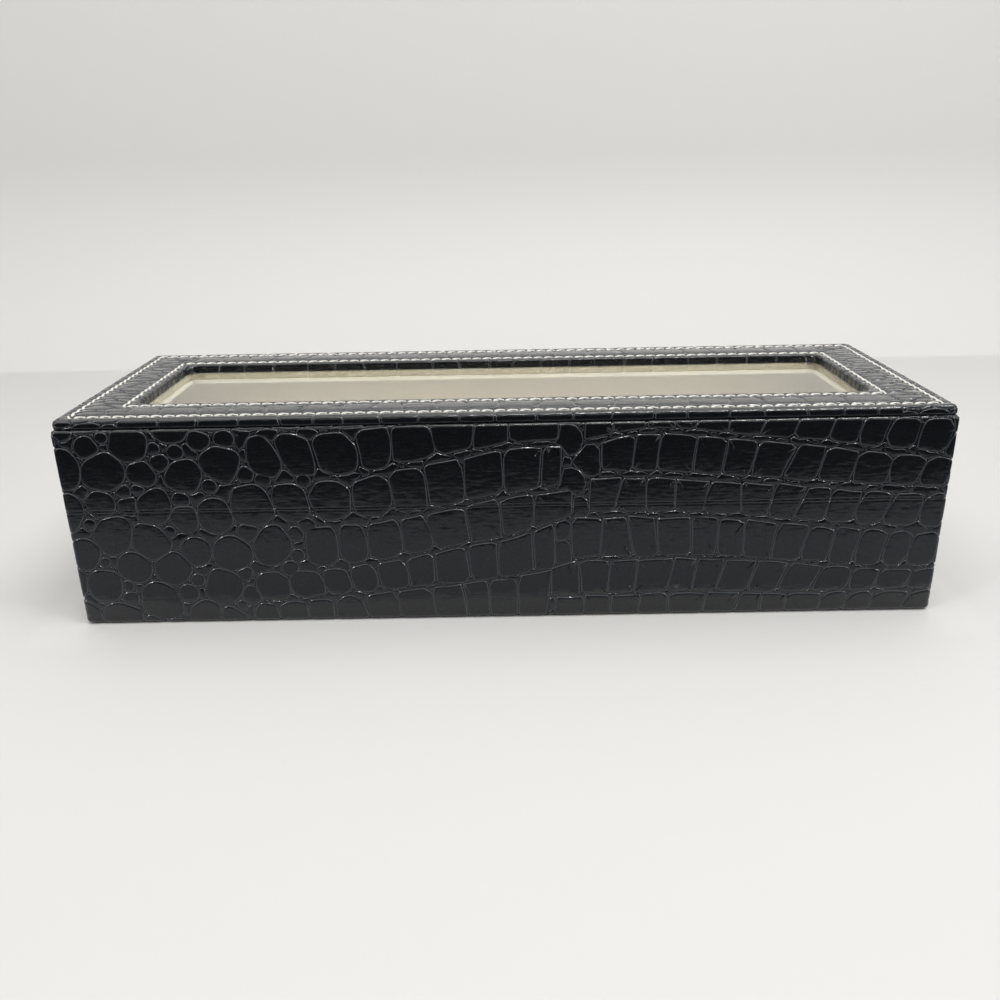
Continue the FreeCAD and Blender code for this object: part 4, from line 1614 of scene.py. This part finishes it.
class PanelCover:
    """The padded, stitched leather frame on the lid, rolled over its edges and into the window."""

    ROLL = 1.8
    UNDER = 0.8
    WINDOW_ROLL = 1.2
    WINDOW = RoundedFrame(137.0, 32.0, 5.0)
    OUTER_ROW_IN = 4.5
    INNER_ROW_OUT = 3.3
    ROW_CORNER = 0.8
    PRESS = 0.34
    PRESS_HALF = 1.3
    PUFF = 0.3
    LOOP_STEPS = ((24, 8), 6)
    FOLD_STEPS = 3

    def __init__(self) -> None:
        low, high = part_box("top_panel_leather")
        self.foot = low.z / MM
        self.top = high.z / MM
        self.outline = RoundedFrame(high.x / MM, high.y / MM, SIZES.corner_round)
        self.outer_core = self.outline.grown(-self.ROLL)
        self.inner_core = self.WINDOW.grown(self.WINDOW_ROLL)
        self.outer_row = self.square_row(self.outline.grown(-self.OUTER_ROW_IN))
        self.inner_row = self.square_row(self.WINDOW.grown(self.INNER_ROW_OUT))
        run = 5.0
        self.outer_path = FoldedPath(
            [
                (self.ROLL - self.UNDER - 0.05, self.foot),
                (self.ROLL, self.foot),
                (self.ROLL, self.top),
                (-run, self.top),
            ],
            [self.UNDER, self.ROLL],
        )
        self.inner_path = FoldedPath(
            [(self.WINDOW_ROLL, self.foot), (self.WINDOW_ROLL, self.top), (-run, self.top)],
            [self.WINDOW_ROLL],
        )
        self.outer_reach = self.outer_path.length - run
        self.inner_reach = self.inner_path.length - run

    def square_row(self, row: RoundedFrame) -> RoundedFrame:
        """The same row with the tight corners at which the machine turns."""
        return RoundedFrame(row.half_x, row.half_y, self.ROW_CORNER)

    def press(self, x: Array, y: Array) -> Array:
        """How far the surface is pulled down by the stitch rows or puffed up between them."""
        to_outer = self.outer_row.nearest(x, y)[0]
        to_inner = self.inner_row.nearest(x, y)[0]
        pulled = np.exp(-((to_outer / self.PRESS_HALF) ** 2))
        pulled = pulled + np.exp(-((to_inner / self.PRESS_HALF) ** 2))
        between = np.clip(np.minimum(-to_outer, to_inner) / 6.0, 0, 1)
        return self.PRESS * pulled - self.PUFF * between * between * (3 - 2 * between)

    def folded(self, x: Array, y: Array, height: Array) -> Array:
        """Points of the cover from places on its flat sheet and heights over it."""
        lift = height - self.press(x, y)
        points = np.column_stack([x, y, self.top + lift])
        borders = (
            (self.outer_core, self.outer_path, self.outer_reach, 1.0),
            (self.inner_core, self.inner_path, self.inner_reach, -1.0),
        )
        for core, path, reach, side in borders:
            distance, nx, ny, _ = core.nearest(x, y)
            beyond = distance * side
            here = beyond > 0
            d = np.minimum(beyond[here], reach)
            folded = path.at(reach - d, lift[here])
            base_x = x[here] - nx[here] * distance[here]
            base_y = y[here] - ny[here] * distance[here]
            points[here, 0] = base_x + nx[here] * side * folded[:, 0]
            points[here, 1] = base_y + ny[here] * side * folded[:, 0]
            points[here, 2] = folded[:, 1]
        return points

    def sheet(self) -> Mesh:
        """The closed sheet that carries the scales, as loops from the outer edge to the window."""
        outer, outer_ways = self.outer_core.loop(*self.LOOP_STEPS)
        inner, inner_ways = self.inner_core.loop(*self.LOOP_STEPS)
        stations = []
        for t in self.outer_path.folds(self.FOLD_STEPS):
            stations.append(("outer", t))
        for share in np.linspace(0.04, 0.96, 20):
            stations.append(("flat", share))
        for t in reversed((0.0, *self.inner_path.folds(self.FOLD_STEPS))):
            stations.append(("inner", t))
        surfaces = []
        for height in (-SIZES.groove_depth, -SIZES.leather):
            loops = []
            for kind, value in stations:
                if kind == "flat":
                    flat = outer + (inner - outer) * value
                    lift = height - self.press(flat[:, 0], flat[:, 1])
                    loops.append(np.column_stack([flat, self.top + lift]))
                    continue
                is_outer = kind == "outer"
                path = self.outer_path if is_outer else self.inner_path
                base, ways = (outer, outer_ways) if is_outer else (inner, -inner_ways)
                lift = height - self.press(base[:, 0], base[:, 1])
                folded = path.at(np.full(len(base), value), lift)
                loops.append(np.column_stack([base + ways * folded[:, :1], folded[:, 1]]))
            surfaces.append(np.array(loops))
        rows, columns = surfaces[0].shape[:2]
        count = rows * columns
        faces = []
        for i in range(rows - 1):
            for j in range(columns):
                n = (j + 1) % columns
                here, after = i * columns, (i + 1) * columns
                a, b, c, d = here + j, here + n, after + n, after + j
                faces.append((a, b, c, d))
                faces.append((count + d, count + c, count + b, count + a))
        last = (rows - 1) * columns
        for j in range(columns):
            n = (j + 1) % columns
            faces.append((n, j, count + j, count + n))
            faces.append((last + j, last + n, count + last + n, count + last + j))
        return np.concatenate([s.reshape(-1, 3) for s in surfaces]), faces

    def hide(self) -> Hide:
        """The pattern of the panel: belly scales on the long rails, flank scales on the ends."""
        reach_x = self.outer_core.half_x + self.outer_reach
        reach_y = self.outer_core.half_y + self.outer_reach
        hide = Hide((-reach_x, -reach_y), (reach_x, reach_y), seed=5)
        rail = self.inner_core.half_y - self.inner_reach
        rails = (([-60.0, -47.5, -38.5, -24.0], 0.9), ([24.0, 36.5, 46.5, 60.0], 1.1))
        for levels, gap in rails:
            knots = np.linspace(-170, 170, 9)
            drift = hide.dice.normal(0, 1.3, len(knots))
            edges = [
                [(x, level + d * 0.8) for x, d in zip(knots, drift)] for level in levels
            ]
            roundness = [(x, hide.dice.uniform(0.05, 0.6)) for x in knots]
            for lower, upper in zip(edges, edges[1:]):
                row = ScaleRow(lower, upper, (-136.0, 140.0), 13.0, roundness, gap)
                hide.add_row(row)
        beside = [s for s in hide.scales if abs(s.centre[0]) > 112]
        for side in (-1, 1):
            low, high = sorted((side * 132.0, side * reach_x))
            hide.add_flank(
                (low, -reach_y), (high, reach_y), (2.0, 4.4), beside, drawn_out=2.2
            )
        keep = []
        for scale in hide.scales:
            x, y = np.abs(scale.outline[:, 0]), np.abs(scale.outline[:, 1])
            outside = (x > self.inner_core.half_x - self.inner_reach) | (y > rail)
            if outside.any():
                keep.append(scale)
        hide.scales = keep
        hide.fill(0.3, window=RoundedFrame(self.inner_core.half_x - self.inner_reach, rail, 1.0))
        return hide

    def build(self) -> bpy.types.Object:
        """Builds the cover in place of its plain solid."""
        hide = self.hide()
        points, faces = hide.relief(SIZES.groove_depth)
        lines = []
        for axis, outer, inner in (
            (0, self.outer_core.half_x, self.inner_core.half_x),
            (1, self.outer_core.half_y, self.inner_core.half_y),
        ):
            for place in self.outer_path.folds(self.FOLD_STEPS):
                edge = outer + self.outer_reach - place
                lines += [(axis, edge), (axis, -edge)]
            for place in (0.0, *self.inner_path.folds(self.FOLD_STEPS)):
                edge = inner - (self.inner_reach - place)
                lines += [(axis, edge), (axis, -edge)]
        reach_x = self.outer_core.half_x + self.outer_reach
        reach_y = self.outer_core.half_y + self.outer_reach
        points, faces = cut_flat(points, faces, lines, (-reach_x, -reach_y), (reach_x, reach_y))
        in_window = -self.inner_core.nearest(points[:, 0], points[:, 1])[0] > self.inner_reach
        off_edge = self.outer_core.nearest(points[:, 0], points[:, 1])[0] > self.outer_reach
        gone = in_window | off_edge
        faces = [face for face in faces if not all(gone[i] for i in face)]
        raised = self.folded(points[:, 0], points[:, 1], points[:, 2])
        piece = make_object(
            "padded_panel_cover",
            *merge((raised, faces), self.sheet()),
            finish_of(Finish.LEATHERETTE),
            groove_sheen_weight=points[:, 3],
        )
        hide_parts("top_panel_leather")
        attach(piece, "lid")
        LOG.info("padded_panel_cover: %d scales, %d faces", len(hide.scales), len(faces))
        return piece


class LockStitching:
    """Rows of slanted lock stitches, each one a twisted two-ply thread that dips at both ends."""

    LENGTH = 4.15
    PITCH = 4.5
    PLY = 0.235
    SLANT = 0.14
    RISE = 0.16
    RINGS = 11
    SECTION = 10

    def __init__(self, panel: PanelCover) -> None:
        self.panel = panel
        self.dice = np.random.default_rng(3)

    def stitch(self) -> Mesh:
        """One stitch along X about the origin: two plies wound round each other."""
        points = []
        faces = []
        for ply in range(2):
            first = len(points)
            for ring in range(self.RINGS):
                share = ring / (self.RINGS - 1)
                x = (share - 0.5) * self.LENGTH
                arch = math.sin(math.pi * share) ** 0.3
                z = -0.25 + (self.RISE + 0.25) * arch
                turn = ply * math.pi + share * math.pi * 1.1
                plump = 0.85 + 0.15 * arch
                y = math.cos(turn) * self.PLY * plump
                lift = math.sin(turn) * self.PLY * plump * 0.7
                for k in range(self.SECTION):
                    angle = 2 * math.pi * k / self.SECTION
                    radius = self.PLY * 1.25 * plump
                    points.append(
                        (x, y + radius * math.cos(angle), z + lift + radius * math.sin(angle))
                    )
            for ring in range(self.RINGS - 1):
                a = first + ring * self.SECTION
                for k in range(self.SECTION):
                    n = (k + 1) % self.SECTION
                    b = a + self.SECTION
                    faces.append((a + k, b + k, b + n, a + n))
            faces.append(tuple(first + k for k in range(self.SECTION)))
            last = first + (self.RINGS - 1) * self.SECTION
            faces.append(tuple(last + k for k in reversed(range(self.SECTION))))
        return np.array(points), faces

    def build(self) -> bpy.types.Object:
        """Builds both rows as one piece."""
        shape, faces = self.stitch()
        meshes = []
        for row in (self.panel.outer_row, self.panel.inner_row):
            count = int(round(row.perimeter / self.PITCH))
            places, ways = row.walk(count)
            for place, way in zip(places, ways):
                angle = math.atan2(way[1], way[0]) + self.SLANT + self.dice.normal(0, 0.03)
                turn = np.array(
                    [[math.cos(angle), -math.sin(angle)], [math.sin(angle), math.cos(angle)]]
                )
                flat = shape[:, :2] * self.dice.normal(1, 0.02) @ turn.T + place
                press = self.panel.press(place[:1], place[1:])[0]
                meshes.append(
                    (np.column_stack([flat, shape[:, 2] + self.panel.top - press]), faces)
                )
        piece = make_object("panel_lock_stitches", *merge(*meshes), finish_of(Finish.THREAD))
        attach(piece, "lid")
        return piece


class HingeCloth:
    """The strip of cloth inside the hinge, glued to the base's lining and to the lid's."""

    STEP = 0.35
    EDGE_HOLD = 1.0

    def build(self) -> bpy.types.Object:
        """Builds the strip in place of its two halves."""
        low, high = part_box("hinge_strip_lower")
        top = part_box("hinge_strip_upper")[1]
        x0, x1 = low.x / MM, high.x / MM
        y0, y1 = low.y / MM, high.y / MM
        z0, z1 = low.z / MM, top.z / MM
        xs = spaced(x0, x1, 3.0)
        zs = spaced(z0, z1, self.STEP)

        def face(y: float) -> Surface:
            return lambda s, t: np.column_stack([s, np.full(s.shape, y), t])

        points, faces = closed_sheet(xs, zs, face(y1), face(y0))
        piece = make_object("hinge_cloth", points, faces, finish_of(Finish.VELVET))
        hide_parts("hinge_strip_lower", "hinge_strip_upper")
        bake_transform(piece)
        return piece


@dataclass(frozen=True)
class PillowShape:
    """Sizes of a stuffed pillow in millimetres, and how its cover is sewn."""

    section_power: float = 3.2
    length_power: float = 5.0
    around: int = 72
    along: int = 50
    seam_place: float = 31.5
    seam_half: float = 0.75
    seam_depth: float = 0.95
    seam_lines: tuple[float, ...] = (-1.3, -0.65, 0.0, 0.65, 1.3)
    back_seam_half: float = 1.15
    back_seam_depth: float = 0.7


class Pillow:
    """One stuffed velvet pillow: a wrapped body with a sewn cap at each end."""

    SHAPE = PillowShape()
    FRAMES = 14
    MOST_MOVE = 1.6
    SEAM_GROUP = "seams"
    CLOTH = {
        "quality": 5,
        "mass": 0.2,
        "tension_stiffness": 20,
        "compression_stiffness": 20,
        "bending_stiffness": 0.3,
        "use_pressure": True,
        "uniform_pressure_force": 4.0,
        "vertex_group_shrink": SEAM_GROUP,
        "shrink_min": 0.0,
        "shrink_max": 0.07,
    }

    def __init__(self, number: int) -> None:
        self.node = f"pillow_{number}"
        self.number = number
        self.dice = np.random.default_rng(70 + number)
        low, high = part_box(self.node)
        self.middle = np.array((low + high) / 2) / MM
        self.half = np.array((high - low) / 2) / MM

    def meridian(self) -> tuple[Array, Array]:
        """Places along the length, closer at the seams, and the share of the section at each."""
        power = 2 / self.SHAPE.length_power
        angle = np.linspace(-math.pi / 2, math.pi / 2, 1600)
        y = np.sign(angle) * np.abs(np.sin(angle)) ** power * self.half[1]
        share = np.abs(np.cos(angle)) ** power
        run = np.concatenate([[0], np.cumsum(np.hypot(np.diff(y), np.diff(share) * self.half[0]))])
        places = np.linspace(0, run[-1], self.SHAPE.along + 2)[1:-1]
        seams = [
            np.interp(side * self.SHAPE.seam_place + line, y, run)
            for side in (-1, 1)
            for line in self.SHAPE.seam_lines
        ]
        apart = np.abs(places[:, None] - np.array(seams)).min(axis=1) > 0.6
        places = np.sort(np.concatenate([places[apart], seams]))
        return np.interp(places, run, y), np.interp(places, run, share)

    def cover(self) -> tuple[Array, list[Face], Array]:
        """The cover before it is stuffed: points, faces, and how near each point is to a seam."""
        shape = self.SHAPE
        ys, shares = self.meridian()
        angle = np.linspace(0, 2 * math.pi, shape.around, endpoint=False) + math.pi / 2
        power = 2 / shape.section_power
        x = np.sign(np.cos(angle)) * np.abs(np.cos(angle)) ** power * self.half[0]
        z = np.sign(np.sin(angle)) * np.abs(np.sin(angle)) ** power * self.half[2]
        ring = np.stack([x, z], axis=1)
        points = [(0.0, -self.half[1], 0.0)]
        for y, share in zip(ys, shares):
            points += [(px * share, y, pz * share) for px, pz in ring]
        points.append((0.0, self.half[1], 0.0))
        around, along = shape.around, len(ys)
        faces = [(0, 1 + (k + 1) % around, 1 + k) for k in range(around)]
        for j in range(along - 1):
            faces += band(1 + j * around, around)
        last = 1 + (along - 1) * around
        tip = last + around
        faces += [(last + k, last + (k + 1) % around, tip) for k in range(around)]
        array = np.array(points)
        near = np.exp(-(((np.abs(array[:, 1]) - shape.seam_place) / 1.6) ** 2))
        return array, [tuple(reversed(face)) for face in faces], near

    def stuffed(self) -> bpy.types.Object:
        """Sews the cover, fills it by a cloth simulation and sets it to its slot's size."""
        points, faces, near = self.cover()
        rumple = self.dice.normal(0, 0.05, points.shape)
        piece = make_object(
            f"stuffed_{self.node}", points * 0.985 + rumple, faces, finish_of(Finish.VELVET)
        )
        self.fill(piece, near)
        smooth = piece.modifiers.new("soft_pile", "SUBSURF")
        smooth.levels = smooth.render_levels = 1
        rough = piece.data
        shown = piece.evaluated_get(bpy.context.evaluated_depsgraph_get())
        piece.data = bpy.data.meshes.new_from_object(shown)
        piece.modifiers.remove(smooth)
        bpy.data.meshes.remove(rough)
        result = np.array([v.co[:] for v in piece.data.vertices]) / MM
        span = result.max(axis=0) - result.min(axis=0)
        centre = (result.max(axis=0) + result.min(axis=0)) / 2
        result = (result - centre) * (2 * self.half / span)
        result = self.sew(result)
        piece.data.vertices.foreach_set("co", ((result + self.middle) * MM).ravel())
        return piece

    def fill(self, piece: bpy.types.Object, near: Array) -> None:
        """Blows the cover up with its seams drawn in, and keeps the result."""
        before = np.array([v.co[:] for v in piece.data.vertices])
        seams = piece.vertex_groups.new(name=self.SEAM_GROUP)
        for index, weight in enumerate(near):
            if weight > 0.02:
                seams.add([index], float(weight), "REPLACE")
        cloth = piece.modifiers.new("stuffing", "CLOTH")
        for setting, value in self.CLOTH.items():
            setattr(cloth.settings, setting, value)
        cloth.settings.effector_weights.gravity = 0
        cloth.point_cache.frame_start = 1
        cloth.point_cache.frame_end = self.FRAMES
        scene = bpy.context.scene
        for step in range(1, self.FRAMES + 1):
            scene.frame_set(step)
        shown = piece.evaluated_get(bpy.context.evaluated_depsgraph_get())
        after = np.array([v.co[:] for v in shown.data.vertices])
        piece.modifiers.remove(cloth)
        scene.frame_set(1)
        move = after - before
        size = np.linalg.norm(move, axis=1)
        limit = self.MOST_MOVE * MM
        move *= np.minimum(1, limit / np.maximum(size, 1e-9))[:, None]
        piece.data.vertices.foreach_set("co", (before + move).ravel())

    def sew(self, points: Array) -> Array:
        """Pulls the cover in along the seam of each cap and along the back of the body."""
        shape = self.SHAPE
        seam_wave = 0.25 * np.sin(np.arctan2(points[:, 2], points[:, 0]) * 3 + self.number)
        off = np.abs(points[:, 1]) - shape.seam_place - seam_wave
        pull = shape.seam_depth * np.exp(-((off / shape.seam_half) ** 2))
        pucker = np.sin(np.arctan2(points[:, 2], points[:, 0]) * 26 + self.number * 1.7)
        beside = np.exp(-(((np.abs(off) - 2.2) / 1.8) ** 2))
        pull = pull + 0.09 * pucker * beside
        under = points[:, 2] < 0
        back = under & (np.abs(points[:, 1]) < shape.seam_place)
        pull = pull + np.where(
            back, shape.back_seam_depth * np.exp(-((points[:, 0] / shape.back_seam_half) ** 2)), 0
        )
        inward = points.copy()
        inward[:, 1] *= 0.25
        inward /= np.maximum(np.linalg.norm(inward, axis=1), 1e-6)[:, None]
        return points - inward * pull[:, None]

    def build(self) -> bpy.types.Object:
        """Builds the pillow in place of its plain solid."""
        piece = self.stuffed()
        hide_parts(self.node)
        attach(piece, self.node)
        return piece


class CarriedNodes:
    """Gives each solid that stays in view its real stock, and eases the velvet and nickel edges."""

    FINISHES = {
        Finish.FELT: ("bottom_felt",),
        Finish.FIBREBOARD: (
            "base_bottom_board",
            *(f"base_{side}_board" for side in SIDES),
            *(f"lid_{side}_board" for side in SIDES),
            "lid_top_board",
        ),
        Finish.CARD: ("top_panel_board",),
        Finish.VELVET: (
            "floor_lining",
            *(f"base_lining_{side}" for side in SIDES),
            *(f"lid_lining_{side}" for side in SIDES),
            "glass_retainer",
            *(f"divider_{number}" for number in range(1, 6)),
        ),
        Finish.GLASS: ("glass_pane",),
        Finish.SPONGE: ("top_panel_foam",),
        Finish.NICKEL: (
            "stud_plate",
            "clasp_stud",
            "stud_nails",
            "hasp_plate",
            "hasp_pin",
            "hasp_nails",
            "hasp_leaf",
        ),
    }
    EASED = {Finish.VELVET: 0.3, Finish.NICKEL: 0.12}

    def build(self) -> None:
        """Paints every carried solid."""
        for finish, names in self.FINISHES.items():
            for name in names:
                solid = frame["nodes"][name]
                solid.data.materials.clear()
                solid.data.materials.append(finish_of(finish))
                if finish in self.EASED:
                    ease = solid.modifiers.new("eased_edges", "BEVEL")
                    ease.width = self.EASED[finish] * MM
                    ease.segments = 3
                    ease.limit_method = "ANGLE"
                    ease.angle_limit = math.radians(35)
                    ease.harden_normals = False


class Stage:
    """Pale floor and wall, soft lamps and the camera."""

    def build(self) -> None:
        """Builds the stage."""
        self.add_floor()
        self.add_lamps()
        self.add_camera()

    def add_floor(self) -> None:
        """A floor that sweeps up into a wall behind the box."""
        width, front, back, height, bend = 6000.0, -3000.0, 520.0, 1500.0, 160.0
        profile = [(front, 0.0), (back - bend, 0.0)]
        for k in range(1, 13):
            angle = k / 12 * math.pi / 2
            profile.append((back - bend + bend * math.sin(angle), bend - bend * math.cos(angle)))
        profile.append((back, height))
        points = []
        faces = []
        for y, z in profile:
            points += [(-width / 2, y, z), (width / 2, y, z)]
        for k in range(len(profile) - 1):
            faces.append((2 * k, 2 * k + 1, 2 * k + 3, 2 * k + 2))
        floor = make_object(
            "floor", np.array(points), faces, MattPaint("pale_matt_paint", "#d3d2cf").build()
        )

    def add_lamps(self) -> None:
        """Soft lamps overhead and beside the camera, a pale world, and a dark card in front."""
        for name, place, size, power in (
            ("overhead", (0.0, -0.05, 1.15), (1.7, 1.2), 10.0),
            ("front_left", (-0.95, -0.7, 0.7), (0.2, 0.2), 2.6),
            ("front_right", (1.0, -0.6, 0.6), (0.16, 0.16), 2.0),
            ("ceiling_strip", (0.3, -0.35, 1.0), (0.9, 0.03), 4.0),
        ):
            lamp = bpy.data.lights.new(name, "AREA")
            lamp.shape = "RECTANGLE"
            lamp.size, lamp.size_y = size
            lamp.energy = power
            holder = bpy.data.objects.new(name, lamp)
            holder.location = place
            aim = Vector((0, 0, 0.04)) - Vector(place)
            holder.rotation_euler = aim.to_track_quat("-Z", "Y").to_euler()
            bpy.context.scene.collection.objects.link(holder)
        self.add_world()
        bpy.context.scene.view_settings.view_transform = "Standard"
        self.add_dark_card()

    def add_world(self) -> None:
        """A pale room: dimmer as a light than it is in view and in reflections."""
        world = bpy.data.worlds.new("pale_room")
        world.use_nodes = True
        tree = world.node_tree
        tree.nodes.clear()
        path = add_node(tree, "LightPath").outputs
        seen = add_node(
            tree,
            "Math",
            {0: path["Is Camera Ray"], 1: path["Is Glossy Ray"]},
            operation="MAXIMUM",
        ).outputs[0]
        seen = add_node(
            tree, "Math", {0: seen, 1: path["Is Transmission Ray"]}, operation="MAXIMUM"
        ).outputs[0]
        room = add_node(tree, "Background", {0: linear("#e6e6e8"), 1: 0.5})
        view = add_node(tree, "Background", {0: linear("#e0deda"), 1: 1.0})
        mixed = add_node(
            tree, "MixShader", {0: seen, 1: room.outputs[0], 2: view.outputs[0]}
        )
        output = add_node(tree, "OutputWorld")
        tree.links.new(mixed.outputs[0], output.inputs["Surface"])
        bpy.context.scene.world = world

    def add_dark_card(self) -> None:
        """A card round the foot of the box that shows only in its gloss, with one side stood up."""
        gap, reach, level, high = 17.0, 480.0, 1.0, 330.0
        x0, y0 = SIZES.half_x + gap, SIZES.half_y + gap
        x1, y1 = SIZES.half_x + reach, SIZES.half_y + reach
        loops = [
            (sx * x, sy * y, level)
            for x, y in ((x0, y0), (x1, y1))
            for sx, sy in ((-1, -1), (1, -1), (1, 1), (-1, 1))
        ]
        front = [(x1, -y1, high), (-x1, -y1, high)]
        faces = [(k, (k + 1) % 4, 4 + (k + 1) % 4, 4 + k) for k in range(4)]
        faces.append((4, 5, 8, 9))
        finish = FadedCard(SIZES.half_x, SIZES.half_y)
        card = make_object("dark_card", np.array(loops + front), faces, finish.build())
        card.visible_camera = False
        card.visible_diffuse = False
        card.visible_shadow = False
        card.visible_transmission = False

    def add_camera(self) -> None:
        """The camera, a little above the box on its hinge side."""
        lens = bpy.data.cameras.new("camera")
        lens.sensor_width = 36.0
        lens.lens = 33.17
        lens.clip_start = 0.01
        camera = bpy.data.objects.new("camera", lens)
        right = Vector((0.9998, -0.0057, -0.0164))
        down = Vector((-0.0173, -0.36, -0.9328))
        forward = Vector((-0.0006, 0.933, -0.36))
        turn = Matrix((right, -down, -forward)).transposed()
        camera.matrix_world = Matrix.Translation(Vector((-2.0, -365.3, 167.6)) * MM) @ turn.to_4x4()
        bpy.context.scene.collection.objects.link(camera)
        bpy.context.scene.camera = camera


def main() -> None:
    """Builds the box and its stage, and logs the size of each leatherette cover."""
    logging.basicConfig(level=logging.INFO, format="%(message)s")
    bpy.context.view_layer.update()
    RearCover().build()
    base_cover().build()
    lid_cover().build()
    panel = PanelCover()
    panel.build()
    LockStitching(panel).build()
    HingeCloth().build()
    for number in range(1, 7):
        Pillow(number).build()
    CarriedNodes().build()
    Stage().build()


if __name__ == "__main__":
    main()
